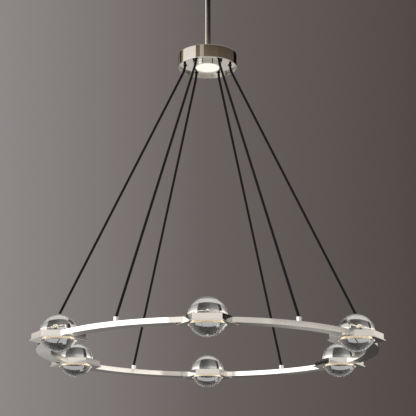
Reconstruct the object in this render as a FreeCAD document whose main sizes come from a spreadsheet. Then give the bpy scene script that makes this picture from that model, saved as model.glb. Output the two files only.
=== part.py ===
"""Orb chandelier: six crystal balls in a ring of flat bars, hung on six cords from a hub and a stem.

Millimetres, +Z up. The origin is the middle of the ceiling bracket's top face, and everything hangs below.
The chandelier's axis is Z, and one ball lies straight towards -Y.
"""
import FreeCAD, Part
import math
import os
import re

import Sketcher
from FreeCAD import Placement, Rotation, Vector

COUNT = 6
PLATE_SCREWS = 3
STEP = 360 / COUNT
BALL_ANGLES = [STEP / 2 + STEP * k for k in range(COUNT)]
BAR_ANGLES = [STEP * k for k in range(COUNT)]
TOLERANCE = 0.01
BEND_SHARE = 0.45

doc = FreeCAD.newDocument("OrbChandelier")
sheet = doc.addObject("Spreadsheet::Sheet", "Sizes")
derived = doc.addObject("App::VarSet", "Derived")
scratch = doc.addObject("App::VarSet", "Scratch")
scratch.addProperty("App::PropertyFloat", "amount")

# ---------------------------------------------------------------- driving dimensions

DRIVING = [
    # ring of balls
    ("ring_radius", 532, "circle through the ball centres"),
    ("hang_height", 988, "hub rim above the ball centres"),
    ("ball_radius", 59, "crystal ball"),
    ("collar_room", 11.2, "ball to the inside of the collar wall, at its flats"),
    ("collar_wall", 3, "collar wall thickness"),
    ("collar_drop", 24.5, "collar underside below the ball centre"),
    ("collar_top_drop", 2, "collar top below the ball centre"),
    ("flange_out", 5.5, "collar bottom plate past the wall, at its corners"),
    ("flange_thick", 3.7, "collar bottom plate thickness"),
    ("glow_gap", 3.3, "lit gap between the ball and the plate's hole"),
    ("seat_clear", 0.3, "ball to its seat"),
    ("seat_height", 4.8, "soft seat ring height"),
    ("diffuser_gap", 0.8, "ball to frosted ring"),
    ("diffuser_wall", 2.7, "frosted ring thickness"),
    ("light_gap", 0.4, "light strip to collar wall"),
    ("light_wall", 3, "light strip thickness"),
    ("light_height", 12, "light strip height"),
    ("cover_thick", 2.5, "collar cover thickness"),
    ("cover_gap", 1.5, "ball to the cover's hole"),
    ("cover_clear", 0.2, "cover to collar wall"),
    # bars
    ("bar_width", 44, "flat bar, across"),
    ("bar_height", 16.5, "flat bar, upright"),
    ("bar_wall", 2.5, "flat bar wall thickness"),
    ("spigot_clear", 0.15, "spigot to the inside of the bar"),
    ("spigot_arc", 4, "spigot length at the bar's middle, degrees past the corner"),
    ("spigot_screw_radius", 2, "spigot screw shank"),
    ("spigot_screw_head", 3.4, "spigot screw head radius"),
    ("spigot_head_height", 2.2, "spigot screw head height"),
    ("spigot_screw_length", 9, "spigot screw shank length"),
    ("spigot_screw_offset", 13, "spigot screw from the collar's corner"),
    ("screw_clear", 0.1, "screw shank to its hole"),
    # cords and their terminals
    ("cord_circle", 78, "circle of cords at the hub"),
    ("cord_radius", 4.25, "cord"),
    ("cord_clear", 0.15, "cord to any hole"),
    ("bend_drop", 4, "cord bend below the hub rim"),
    ("cord_rise", 22.6, "cord end above its bend"),
    ("terminal_radius", 8.5, "terminal knob"),
    ("terminal_height", 16, "terminal knob"),
    ("terminal_edge", 0.8, "terminal knob's edge chamfer"),
    ("socket_depth", 7, "cord socket in the knob, along the cord"),
    ("terminal_stud", 4, "terminal stud radius"),
    ("stud_clear", 0.1, "stud to its hole"),
    ("nut_height", 4, "terminal nut"),
    ("nut_radius", 7, "terminal nut, centre to corner"),
    # hub
    ("hub_radius", 102, "hub shell"),
    ("hub_height", 48, "hub shell"),
    ("hub_wall", 2.5, "hub shell thickness"),
    ("hub_round", 3, "hub top edge rounding"),
    ("hub_recess", 10, "base plate above the rim"),
    ("base_thick", 3, "base plate thickness"),
    ("hub_fit", 0.3, "base plate to shell"),
    ("hanger_radius", 12, "hanger shaft"),
    ("hanger_flange", 26, "hanger flange radius"),
    ("hanger_flange_thick", 5, "hanger flange thickness"),
    ("plate_screw_circle", 19, "plate screws from the axis"),
    ("plate_screw_radius", 2, "plate screw shank"),
    ("plate_screw_head", 3.8, "plate screw head radius"),
    ("bushing_radius", 6.5, "bushing sleeve"),
    ("bushing_flange", 7.5, "bushing flange radius"),
    ("bushing_flange_thick", 1, "bushing flange thickness"),
    ("bushing_clear", 0.1, "bushing to the plate's hole"),
    ("anchor_radius", 9, "cord anchor"),
    ("anchor_height", 13, "cord anchor"),
    ("anchor_edge", 1.5, "cord anchor's top edge chamfer"),
    ("driver_length", 84, "power supply along X"),
    ("driver_width", 28, "power supply along Y"),
    ("driver_height", 19, "power supply"),
    ("driver_offset", 42, "power supply middle from the axis"),
    ("driver_round", 2, "power supply upright edges"),
    # downlight
    ("trim_radius", 47, "downlight trim ring"),
    ("trim_wall", 2.4, "downlight trim ring wall"),
    ("trim_lip", 2.6, "how far the lip covers the lens"),
    ("trim_lip_thick", 1, "downlight trim ring lip"),
    ("lens_clear", 0.3, "lens to trim ring"),
    ("lens_thick", 2.5, "downlight lens"),
    ("board_radius", 34, "downlight board"),
    ("board_thick", 1.6, "downlight board"),
    ("reflector_wall", 1.2, "reflector thickness"),
    ("wire_hole", 4, "wire hole in the base plate"),
    # stem, swivel and canopy
    ("stem_radius", 10.5, "stem tube"),
    ("stem_length", 305, "stem tube"),
    ("nipple_radius", 5, "threaded nipples"),
    ("nipple_bore", 3, "wire way through the nipples"),
    ("nipple_reach", 14, "nipple inside the stem"),
    ("thread_clear", 0.05, "nipple to its hole"),
    ("pivot_drop", 28, "swivel centre below the ceiling"),
    ("cross_size", 12, "swivel block"),
    ("pin_radius", 2.5, "swivel pins"),
    ("pin_clear", 0.05, "swivel pins to their holes"),
    ("yoke_clear", 0.3, "swivel block to the yoke arms"),
    ("yoke_arm", 4.2, "yoke arm thickness"),
    ("yoke_width", 12, "yoke width"),
    ("yoke_reach", 12, "yoke bridge from the swivel centre"),
    ("yoke_bridge", 5, "yoke bridge thickness"),
    ("seat_ball_radius", 24, "round seat in the canopy's hole"),
    ("seat_ball_clear", 0.3, "half-ball cover to its seat"),
    ("seat_ball_wall", 2.2, "half-ball cover thickness"),
    ("canopy_radius", 75, "canopy"),
    ("canopy_depth", 36, "canopy"),
    ("canopy_wall", 1.5, "canopy thickness"),
    ("canopy_round", 6, "canopy bottom edge rounding"),
    ("bracket_length", 132, "ceiling bracket"),
    ("bracket_width", 22, "ceiling bracket"),
    ("bracket_thick", 2.5, "ceiling bracket"),
    ("bracket_round", 4.5, "ceiling bracket's corners"),
    ("box_spacing", 79.4, "ceiling box screw slots, middle to middle"),
    ("slot_length", 15, "ceiling box slot, end to end"),
    ("slot_radius", 2.4, "ceiling box slot, half its width"),
    ("stud_spacing", 116, "canopy studs"),
    ("canopy_stud_radius", 2, "canopy studs"),
    ("canopy_stud_out", 4, "canopy stud below the canopy"),
    ("canopy_stud_room", 0.5, "canopy stud's end to the bottom of its cap nut's hole"),
    ("cap_nut_radius", 6, "canopy cap nut"),
    ("cap_nut_height", 8, "canopy cap nut"),
    ("lock_nut_radius", 9, "bracket lock nut, centre to corner"),
    ("lock_nut_height", 4.5, "bracket lock nut"),
    ("nipple_above", 7, "nipple above the bracket"),
    ("overcut", 1, "how far a cut runs past the face it leaves"),
]

for row, (name, amount, note) in enumerate(DRIVING, start=1):
    sheet.set(f"A{row}", name)
    sheet.set(f"B{row}", str(amount))
    sheet.set(f"C{row}", note)
    sheet.setAlias(f"B{row}", name)
doc.recompute()

DRIVING_NAMES = {name for name, amount, note in DRIVING}
MATHS = {"sqrt", "sin", "cos", "atan"}


def bound(text):
    """Write the owner in front of each named size in an expression."""
    def owner(match):
        word = match.group(0)
        if word in MATHS:
            return word
        return ("Sizes." if word in DRIVING_NAMES else "Derived.") + word
    return re.sub(r"(?<![\w.])[A-Za-z_]\w*", owner, text)


def derive(name, text):
    """Add a worked-out size, bound to the sizes that it follows."""
    derived.addProperty("App::PropertyFloat", name)
    derived.setExpression(name, bound(text))
    derived.recompute()


def size(text):
    """The present value of an expression in named sizes."""
    scratch.setExpression("amount", bound(text))
    scratch.recompute()
    return scratch.amount


# ---------------------------------------------------------------- worked-out levels and radii

derive("nipple_hole", "nipple_radius + thread_clear")
derive("pivot_level", "-pivot_drop")
derive("yoke_inner", "cross_size / 2 + yoke_clear")
derive("yoke_outer", "yoke_inner + yoke_arm")
derive("yoke_end", "yoke_reach + yoke_bridge")
derive("ball_outer", "seat_ball_radius - seat_ball_clear")
derive("ball_inner", "ball_outer - seat_ball_wall")
derive("ball_flat", "sqrt(ball_outer ^ 2 - stem_radius ^ 2)")
derive("canopy_hole", "sqrt(seat_ball_radius ^ 2 - (canopy_depth - canopy_wall - pivot_drop) ^ 2)")
derive("stem_top", "pivot_level - ball_flat")
derive("hub_top", "stem_top - stem_length")
derive("hub_rim", "hub_top - hub_height")
derive("plate_low", "hub_rim + hub_recess")
derive("plate_high", "plate_low + base_thick")
derive("flange_top", "plate_high + hanger_flange_thick")
derive("ball_level", "hub_rim - hang_height")
derive("flange_high", "flange_thick - collar_drop")
derive("collar_high", "-collar_top_drop")
derive("cover_low", "collar_high - cover_thick")
derive("collar_inner", "(ball_radius + collar_room) / cos(30)")
derive("collar_corner", "collar_inner + collar_wall / cos(30)")
derive("flange_corner", "collar_corner + flange_out")
derive("flange_hole", "sqrt(ball_radius ^ 2 - collar_drop ^ 2) + glow_gap")
derive("seat_high", "flange_high + seat_height")
derive("diffuser_inner", "ball_radius + diffuser_gap")
derive("diffuser_outer", "diffuser_inner + diffuser_wall")
derive("light_outer", "collar_inner * cos(30) - light_gap")
derive("bar_high", "flange_high + bar_height")
derive("spigot_inset", "bar_wall + spigot_clear")
derive("bar_middle", "sqrt(ring_radius ^ 2 + collar_corner ^ 2)")
derive("knob_level", "bar_high + terminal_height")
derive("cord_slope", "(bar_middle - cord_circle) / (hang_height - bend_drop - knob_level)")
derive("cord_top", "hub_rim - bend_drop + cord_rise")
derive("lens_radius", "trim_radius - trim_wall - lens_clear")
derive("lens_low", "hub_rim + trim_lip_thick")
derive("lens_high", "lens_low + lens_thick")
derive("board_low", "plate_low - board_thick")


# ---------------------------------------------------------------- building helpers

def plane_of(body, role):
    return next(plane for plane in body.Origin.OriginFeatures if plane.Role == role)


def new_body(label, compound=False):
    body = doc.addObject("PartDesign::Body", label)
    body.Label = label
    body.AllowCompound = compound
    return body


def sketch_on(body, role, level="0"):
    sketch = body.newObject("Sketcher::SketchObject", body.Label + "_sketch")
    sketch.AttachmentSupport = [(plane_of(body, role), "")]
    sketch.MapMode = "FlatFace"
    sketch.setExpression(".AttachmentOffset.Base.z", bound(level))
    return sketch


def hold_point(sketch, line, end, across, up):
    """Tie one end of a line to two named sizes, measured from the sketch's origin."""
    if across == "0":
        sketch.addConstraint(Sketcher.Constraint("PointOnObject", line, end, -2))
    else:
        index = sketch.addConstraint(Sketcher.Constraint("DistanceX", -1, 1, line, end, size(across)))
        sketch.setExpression(f"Constraints[{index}]", bound(across))
    if up == "0":
        sketch.addConstraint(Sketcher.Constraint("PointOnObject", line, end, -1))
    else:
        index = sketch.addConstraint(Sketcher.Constraint("DistanceY", -1, 1, line, end, size(up)))
        sketch.setExpression(f"Constraints[{index}]", bound(up))


def draw_outline(sketch, corners):
    """A closed outline of straight lines through corners given as pairs of expressions."""
    points = [Vector(size(across), size(up), 0) for across, up in corners]
    first = sketch.GeometryCount
    count = len(corners)
    for k in range(count):
        sketch.addGeometry(Part.LineSegment(points[k], points[(k + 1) % count]))
    for k in range(count):
        sketch.addConstraint(Sketcher.Constraint("Coincident", first + k, 2, first + (k + 1) % count, 1))
    for k, (across, up) in enumerate(corners):
        hold_point(sketch, first + k, 1, across, up)


def draw_circle(sketch, radius, across="0", up="0"):
    centre = Vector(size(across), size(up), 0)
    line = sketch.addGeometry(Part.Circle(centre, Vector(0, 0, 1), size(radius)))
    hold_point(sketch, line, 3, across, up)
    index = sketch.addConstraint(Sketcher.Constraint("Radius", line, size(radius)))
    sketch.setExpression(f"Constraints[{index}]", bound(radius))


def draw_slot(sketch, across, half_span, radius):
    """A slot along X: two half circles joined by tangent lines."""
    middle = size(across)
    span = size(half_span)
    round_radius = size(radius)
    right = Part.Circle(Vector(middle + span, 0, 0), Vector(0, 0, 1), round_radius)
    left = Part.Circle(Vector(middle - span, 0, 0), Vector(0, 0, 1), round_radius)
    a = sketch.addGeometry(Part.ArcOfCircle(right, -math.pi / 2, math.pi / 2))
    b = sketch.addGeometry(Part.ArcOfCircle(left, math.pi / 2, 3 * math.pi / 2))
    top = sketch.addGeometry(Part.LineSegment(Vector(middle + span, round_radius, 0),
                                              Vector(middle - span, round_radius, 0)))
    low = sketch.addGeometry(Part.LineSegment(Vector(middle - span, -round_radius, 0),
                                              Vector(middle + span, -round_radius, 0)))
    sketch.addConstraint(Sketcher.Constraint("Tangent", a, 2, top, 1))
    sketch.addConstraint(Sketcher.Constraint("Tangent", top, 2, b, 1))
    sketch.addConstraint(Sketcher.Constraint("Tangent", b, 2, low, 1))
    sketch.addConstraint(Sketcher.Constraint("Tangent", low, 2, a, 1))
    hold_point(sketch, a, 3, f"{across} + ({half_span})", "0")
    hold_point(sketch, b, 3, f"{across} - ({half_span})", "0")
    index = sketch.addConstraint(Sketcher.Constraint("Radius", a, round_radius))
    sketch.setExpression(f"Constraints[{index}]", bound(radius))


def pad(sketch, height):
    feature = sketch.getParentGeoFeatureGroup().newObject("PartDesign::Pad", sketch.Name + "_pad")
    feature.Profile = sketch
    feature.setExpression("Length", bound(height))
    return feature


def pocket(sketch, depth=None):
    """Cut down from the sketch by a depth, or both ways through everything."""
    feature = sketch.getParentGeoFeatureGroup().newObject("PartDesign::Pocket", sketch.Name + "_cut")
    feature.Profile = sketch
    if depth is None:
        feature.Type = "ThroughAll"
        feature.SideType = "Symmetric"
    else:
        feature.setExpression("Length", bound(depth))
    return feature


def turn(sketch, sweep="360", kind="Revolution"):
    """Turn a sketch on an upright plane about its vertical axis, evenly to both sides."""
    feature = sketch.getParentGeoFeatureGroup().newObject("PartDesign::" + kind, sketch.Name + "_turn")
    feature.Profile = sketch
    feature.ReferenceAxis = (sketch, ["V_Axis"])
    feature.Midplane = True
    feature.setExpression("Angle", bound(sweep))
    return feature


def turned(label, corners, level="0"):
    """A round piece from half its section, on the Z axis at a level."""
    body = new_body(label)
    section = sketch_on(body, "XZ_Plane")
    draw_outline(section, corners)
    turn(section)
    set_place(body, up=level)
    return body


def set_place(item, across="0", along="0", up="0", rotation=Rotation()):
    item.Placement = Placement(Vector(), rotation)
    item.setExpression(".Placement.Base.x", bound(across))
    item.setExpression(".Placement.Base.y", bound(along))
    item.setExpression(".Placement.Base.z", bound(up))


def set_on_circle(item, radius, angle, level):
    """Stand a piece on a circle about the axis, with its own X pointing outwards."""
    set_place(item, f"{radius} * cos({angle})", f"{radius} * sin({angle})", level,
              Rotation(Vector(0, 0, 1), angle))


def round_edges(body, radius, chosen, kind="Fillet"):
    """Round or chamfer the edges of the body's last feature that a test picks."""
    doc.recompute()
    base = body.Tip
    names = [f"Edge{k}" for k, edge in enumerate(base.Shape.Edges, start=1) if chosen(edge)]
    feature = body.newObject("PartDesign::" + kind, body.Label + "_edge")
    feature.Base = (base, names)
    feature.setExpression("Radius" if kind == "Fillet" else "Size", bound(radius))
    return feature


def hexagon(corner, across="0", along="0", first_angle=0):
    return [(f"{across} + ({corner}) * cos({angle})", f"{along} + ({corner}) * sin({angle})")
            for angle in range(first_angle, first_angle + 360, 60)]


def rectangle(left, right, low, high):
    return [(left, low), (right, low), (right, high), (left, high)]


def copies(label, pattern, placements):
    """Several separate solids of one shape, each at its own placement, as one sub-part."""
    doc.recompute()
    group = doc.addObject("Part::Feature", label)
    group.Label = label
    solids = []
    for placement in placements:
        for solid in pattern.Shape.Solids:
            moved = solid.copy()
            moved.Placement = placement.multiply(moved.Placement)
            solids.append(moved)
    group.Shape = Part.makeCompound(solids)
    group.Placement = Placement()
    return group


def together(label, pieces):
    """Separate solids that share one sub-part."""
    group = doc.addObject("Part::Compound", label)
    group.Links = pieces
    group.Label = label
    return group


def around(radius, angles, level):
    """Placements on a circle about the axis, each turned to face outwards."""
    spots = []
    for angle in angles:
        turn_by = Rotation(Vector(0, 0, 1), angle)
        spots.append(Placement(turn_by.multVec(Vector(radius, 0, level)), turn_by))
    return spots


def same(first, second):
    return abs(first - second) < TOLERANCE


def is_ring(radius, level):
    """Picks round edges of a radius at a height."""
    def test(edge):
        curve = edge.Curve
        if not isinstance(curve, Part.Circle):
            return False
        return same(curve.Radius, size(radius)) and same(curve.Center.z, size(level))
    return test


def is_upright(edge):
    if not isinstance(edge.Curve, (Part.Line, Part.LineSegment)):
        return False
    return abs(edge.tangentAt(edge.FirstParameter).z) > 1 - TOLERANCE


kept = []


def keep(*items):
    kept.extend(items)


# ---------------------------------------------------------------- ceiling bracket, nipple and nuts

def ceiling_bracket():
    body = new_body("ceiling_bracket")
    plate = sketch_on(body, "XY_Plane", "-bracket_thick")
    draw_outline(plate, rectangle("-bracket_length / 2", "bracket_length / 2",
                                  "-bracket_width / 2", "bracket_width / 2"))
    pad(plate, "bracket_thick")
    holes = sketch_on(body, "XY_Plane")
    draw_circle(holes, "nipple_hole")
    for side in ("", "-"):
        draw_slot(holes, f"{side}box_spacing / 2", "slot_length / 2 - slot_radius", "slot_radius")
        draw_circle(holes, "canopy_stud_radius + thread_clear", f"{side}stud_spacing / 2")
    pocket(holes)
    round_edges(body, "bracket_round", is_bracket_corner)
    return body


def is_bracket_corner(edge):
    return is_upright(edge) and same(abs(edge.CenterOfMass.x), size("bracket_length / 2"))


def hex_nut(label, corner, height, hole):
    body = new_body(label)
    outline = sketch_on(body, "XY_Plane")
    draw_outline(outline, hexagon(corner))
    draw_circle(outline, hole)
    pad(outline, height)
    return body


keep(ceiling_bracket())
keep(turned("mount_nipple", rectangle("nipple_bore", "nipple_radius",
                                      "pivot_level + yoke_reach", "nipple_above")))
lock_nut = hex_nut("lock_nut", "lock_nut_radius", "lock_nut_height", "nipple_hole")
keep(copies("bracket_nuts", lock_nut, [
    Placement(Vector(0, 0, 0), Rotation()),
    Placement(Vector(0, 0, -size("bracket_thick + lock_nut_height")), Rotation()),
]))


# ---------------------------------------------------------------- hang-straight swivel

def yoke(label, rotation):
    """A fork: a bridge with two round-ended arms that hold a pin along X."""
    body = new_body(label)
    section = sketch_on(body, "XZ_Plane")
    draw_outline(section, [("-yoke_outer", "-yoke_width / 2"), ("-yoke_inner", "-yoke_width / 2"),
                           ("-yoke_inner", "yoke_reach"), ("yoke_inner", "yoke_reach"),
                           ("yoke_inner", "-yoke_width / 2"), ("yoke_outer", "-yoke_width / 2"),
                           ("yoke_outer", "yoke_end"), ("-yoke_outer", "yoke_end")])
    pad(section, "yoke_width").SideType = "Symmetric"
    pins = sketch_on(body, "YZ_Plane")
    draw_circle(pins, "pin_radius + pin_clear")
    pocket(pins)
    nipple = sketch_on(body, "XY_Plane", "yoke_end")
    draw_circle(nipple, "nipple_hole")
    pocket(nipple, "yoke_bridge + overcut")
    round_edges(body, "yoke_width / 2 - yoke_clear", is_arm_end)
    set_place(body, up="pivot_level", rotation=rotation)
    return body


def is_arm_end(edge):
    if not isinstance(edge.Curve, (Part.Line, Part.LineSegment)):
        return False
    middle = edge.CenterOfMass
    half = size("yoke_width / 2")
    return same(middle.z, -half) and same(abs(middle.y), half)


def swivel_cross():
    body = new_body("swivel_cross")
    block = sketch_on(body, "XY_Plane", "-cross_size / 2")
    draw_outline(block, rectangle("-cross_size / 2", "cross_size / 2", "-cross_size / 2", "cross_size / 2"))
    pad(block, "cross_size")
    for role in ("YZ_Plane", "XZ_Plane"):
        pins = sketch_on(body, role)
        draw_circle(pins, "pin_radius")
        pad(pins, "2 * yoke_outer").SideType = "Symmetric"
    set_place(body, up="pivot_level")
    return body


def swivel_ball_cover():
    """The half-ball that fills the canopy's hole at any tilt, with a flat floor for the lower yoke."""
    outer = doc.addObject("Part::Sphere", "ball_cover_outer")
    outer.setExpression("Radius", bound("ball_outer"))
    outer.setExpression("Angle1", bound("-atan(ball_flat / stem_radius)"))
    outer.Angle2 = 0
    inner = doc.addObject("Part::Sphere", "ball_cover_inner")
    inner.setExpression("Radius", bound("ball_inner"))
    inner.setExpression("Angle1", bound("-atan(yoke_end / sqrt(ball_inner ^ 2 - yoke_end ^ 2))"))
    inner.Angle2 = 90
    hole = doc.addObject("Part::Cylinder", "ball_cover_hole")
    hole.setExpression("Radius", bound("nipple_hole"))
    hole.setExpression("Height", bound("ball_outer"))
    set_place(hole, up="-ball_outer")
    tools = doc.addObject("Part::MultiFuse", "ball_cover_tools")
    tools.Shapes = [inner, hole]
    cover = doc.addObject("Part::Cut", "swivel_ball_cover")
    cover.Base = outer
    cover.Tool = tools
    cover.Label = "swivel_ball_cover"
    set_place(cover, up="pivot_level")
    return cover


keep(yoke("swivel_top_yoke", Rotation()))
keep(swivel_cross())
keep(yoke("swivel_bottom_yoke", Rotation(Vector(1, 1, 0), 180)))
keep(swivel_ball_cover())


# ---------------------------------------------------------------- canopy

def canopy():
    body = turned("canopy", [
        ("canopy_hole", "-canopy_depth"), ("canopy_radius", "-canopy_depth"), ("canopy_radius", "0"),
        ("canopy_radius - canopy_wall", "0"),
        ("canopy_radius - canopy_wall", "canopy_wall - canopy_depth"),
        ("canopy_hole", "canopy_wall - canopy_depth")])
    holes = sketch_on(body, "XY_Plane")
    for side in ("", "-"):
        draw_circle(holes, "canopy_stud_radius + screw_clear", f"{side}stud_spacing / 2")
    pocket(holes)
    round_edges(body, "canopy_round", is_ring("canopy_radius", "-canopy_depth"))
    round_edges(body, "canopy_round - canopy_wall",
                is_ring("canopy_radius - canopy_wall", "canopy_wall - canopy_depth"))
    return body


def cap_nut():
    """A domed nut with a blind hole, its flat top at the origin."""
    body = turned("cap_nut", [
        ("canopy_stud_radius + thread_clear", "0"), ("cap_nut_radius", "0"),
        ("cap_nut_radius", "-cap_nut_height"), ("0", "-cap_nut_height"),
        ("0", "-canopy_stud_out - canopy_stud_room"),
        ("canopy_stud_radius + thread_clear", "-canopy_stud_out - canopy_stud_room")])
    round_edges(body, "cap_nut_height / 2", is_ring("cap_nut_radius", "-cap_nut_height"))
    return body


keep(canopy())
stud = turned("canopy_stud", rectangle("0", "canopy_stud_radius", "-canopy_depth - canopy_stud_out", "0"))
half_studs = [Vector(side * size("stud_spacing / 2"), 0, 0) for side in (1, -1)]
keep(copies("canopy_studs", stud, [Placement(spot, Rotation()) for spot in half_studs]))
below_studs = [spot - Vector(0, 0, size("canopy_depth")) for spot in half_studs]
keep(copies("canopy_cap_nuts", cap_nut(), [Placement(spot, Rotation()) for spot in below_studs]))

# ---------------------------------------------------------------- stem

keep(turned("stem", rectangle("nipple_hole", "stem_radius", "hub_top", "stem_top")))
upper_nipple = turned("upper_nipple", rectangle("nipple_bore", "nipple_radius",
                                                "stem_top - nipple_reach", "pivot_level - yoke_reach"))
lower_nipple = turned("lower_nipple", rectangle("nipple_bore", "nipple_radius",
                                                "plate_high", "hub_top + nipple_reach"))
keep(together("stem_nipples", [upper_nipple, lower_nipple]))


# ---------------------------------------------------------------- hub

def hub_shell():
    body = turned("hub_shell", [
        ("nipple_hole", "hub_top"), ("nipple_hole", "hub_top - hub_wall"),
        ("hub_radius - hub_wall", "hub_top - hub_wall"), ("hub_radius - hub_wall", "hub_rim"),
        ("hub_radius", "hub_rim"), ("hub_radius", "hub_top")])
    round_edges(body, "hub_round", is_ring("hub_radius", "hub_top"))
    return body


def pattern(body, feature, count):
    """Repeat a feature about the body's upright axis."""
    repeat = body.newObject("PartDesign::PolarPattern", feature.Name + "_pattern")
    repeat.Originals = [feature]
    axis = next(line for line in body.Origin.OriginFeatures if line.Role == "Z_Axis")
    repeat.Axis = (axis, [""])
    repeat.Angle = 360
    repeat.Occurrences = count
    body.Tip = repeat
    return repeat


def hub_base_plate():
    """The mirror plate: a turned disc with a circle of cord holes and three countersunk screw holes."""
    body = turned("hub_base_plate", rectangle("wire_hole", "hub_radius - hub_wall - hub_fit",
                                                 "plate_low", "plate_high"))
    cords = sketch_on(body, "XY_Plane", "plate_high")
    draw_circle(cords, "bushing_radius + bushing_clear", "cord_circle")
    pattern(body, pocket(cords, "base_thick + overcut"), COUNT)
    screws = sketch_on(body, "XY_Plane", "plate_high")
    draw_circle(screws, "plate_screw_radius + screw_clear", "plate_screw_circle")
    pattern(body, pocket(screws, "base_thick + overcut"), PLATE_SCREWS)
    round_edges(body, "plate_screw_head - plate_screw_radius",
                is_ring("plate_screw_radius + screw_clear", "plate_low"), "Chamfer")
    return body


def hub_hanger():
    """The spacer between the shell's top and the base plate: its flange takes the plate's screws."""
    body = turned("hub_hanger", [
        ("nipple_hole", "plate_high"), ("hanger_flange", "plate_high"),
        ("hanger_flange", "flange_top"), ("hanger_radius", "flange_top"),
        ("hanger_radius", "hub_top - hub_wall"), ("nipple_hole", "hub_top - hub_wall")])
    screws = sketch_on(body, "XY_Plane", "flange_top")
    draw_circle(screws, "plate_screw_radius + thread_clear", "plate_screw_circle")
    pattern(body, pocket(screws, "hanger_flange_thick + overcut"), PLATE_SCREWS)
    return body


keep(hub_shell())
keep(hub_hanger())
keep(hub_base_plate())
plate_screw = turned("plate_screw", [
    ("0", "plate_low"), ("plate_screw_head", "plate_low"),
    ("plate_screw_radius", "plate_low + plate_screw_head - plate_screw_radius"),
    ("plate_screw_radius", "flange_top"), ("0", "flange_top")])
screw_angles = [360 / PLATE_SCREWS * k for k in range(PLATE_SCREWS)]
keep(copies("plate_screws", plate_screw, around(size("plate_screw_circle"), screw_angles, 0)))

bushing = turned("bushing", [
    ("cord_radius + cord_clear", "-bushing_flange_thick"), ("bushing_flange", "-bushing_flange_thick"),
    ("bushing_flange", "0"), ("bushing_radius", "0"), ("bushing_radius", "base_thick"),
    ("cord_radius + cord_clear", "base_thick")])
keep(copies("cord_bushings", bushing, around(size("cord_circle"), BAR_ANGLES, size("plate_low"))))
anchor = turned("anchor", [
    ("cord_radius + cord_clear", "0"), ("anchor_radius", "0"), ("anchor_radius", "anchor_height"),
    ("0", "anchor_height"), ("0", "cord_top - plate_high"),
    ("cord_radius + cord_clear", "cord_top - plate_high")])
round_edges(anchor, "anchor_edge", is_ring("anchor_radius", "anchor_height"), "Chamfer")
keep(copies("cord_anchors", anchor, around(size("cord_circle"), BAR_ANGLES, size("plate_high"))))


def led_driver():
    """The power supply: a closed case on the base plate, with rounded upright edges."""
    body = new_body("led_driver")
    outline = sketch_on(body, "XY_Plane")
    draw_outline(outline, rectangle("-driver_length / 2", "driver_length / 2",
                                    "driver_offset - driver_width / 2",
                                    "driver_offset + driver_width / 2"))
    pad(outline, "driver_height")
    round_edges(body, "driver_round", is_upright)
    set_place(body, up="plate_high")
    return body


keep(led_driver())

# ---------------------------------------------------------------- downlight

keep(turned("downlight_trim", [
    ("lens_radius - trim_lip", "hub_rim"), ("trim_radius", "hub_rim"), ("trim_radius", "plate_low"),
    ("trim_radius - trim_wall", "plate_low"), ("trim_radius - trim_wall", "lens_low"),
    ("lens_radius - trim_lip", "lens_low")]))
keep(turned("downlight_lens", rectangle("0", "lens_radius", "lens_low", "lens_high")))
keep(turned("downlight_board", rectangle("0", "board_radius", "board_low", "plate_low")))
keep(turned("downlight_reflector", [
    ("lens_radius - reflector_wall", "lens_high"), ("lens_radius", "lens_high"),
    ("board_radius + reflector_wall", "board_low"), ("board_radius", "board_low")]))


# ---------------------------------------------------------------- flat bars, their spigots and screws

def notch_ends(body):
    """Cut the two neighbouring collars' outlines, seen from above, out of a bar's ends."""
    for side in ("", "-"):
        notch = sketch_on(body, "XY_Plane")
        draw_outline(notch, hexagon("collar_corner", f"ring_radius * cos({STEP / 2})",
                                    f"{side}ring_radius * sin({STEP / 2})"))
        pocket(notch)


def ring_bar(number):
    """A curved hollow bar: a turned rectangular tube, its ends notched to fit the collars' corners."""
    body = new_body(f"ring_bar_{number}")
    section = sketch_on(body, "XZ_Plane")
    draw_outline(section, rectangle("bar_middle - bar_width / 2", "bar_middle + bar_width / 2",
                                    "flange_high", "bar_high"))
    draw_outline(section, rectangle("bar_middle - bar_width / 2 + bar_wall",
                                    "bar_middle + bar_width / 2 - bar_wall",
                                    "flange_high + bar_wall", "bar_high - bar_wall"))
    turn(section, f"{STEP}")
    notch_ends(body)
    stud_hole = sketch_on(body, "XY_Plane", "bar_high")
    draw_circle(stud_hole, "terminal_stud + stud_clear", "bar_middle")
    pocket(stud_hole, "bar_wall + overcut")
    set_place(body, up="ball_level", rotation=Rotation(Vector(0, 0, 1), BAR_ANGLES[number - 1]))
    return body


def spigot_pair():
    """The two blocks in one bar's ends: the bar's inner section, cut to the collars and off its middle."""
    body = new_body("spigot_pair", compound=True)
    section = sketch_on(body, "XZ_Plane")
    draw_outline(section, rectangle("bar_middle - bar_width / 2 + spigot_inset",
                                    "bar_middle + bar_width / 2 - spigot_inset",
                                    "flange_high + spigot_inset", "bar_high - spigot_inset"))
    turn(section, f"{STEP}")
    notch_ends(body)
    middle = sketch_on(body, "XZ_Plane")
    draw_outline(middle, rectangle("bar_middle - bar_width", "bar_middle + bar_width",
                                   "flange_high", "bar_high"))
    turn(middle, f"{STEP} - 2 * (atan(collar_corner / ring_radius) / 1deg + spigot_arc)", "Groove")
    return body


def spigot_screw():
    """A screw from inside the collar wall into a spigot. The wall's outer face is at the origin."""
    return turned("spigot_screw", [
        ("0", "-collar_wall - spigot_head_height"),
        ("spigot_screw_head", "-collar_wall - spigot_head_height"), ("spigot_screw_head", "-collar_wall"),
        ("spigot_screw_radius", "-collar_wall"), ("spigot_screw_radius", "spigot_screw_length - collar_wall"),
        ("0", "spigot_screw_length - collar_wall")])


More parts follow.
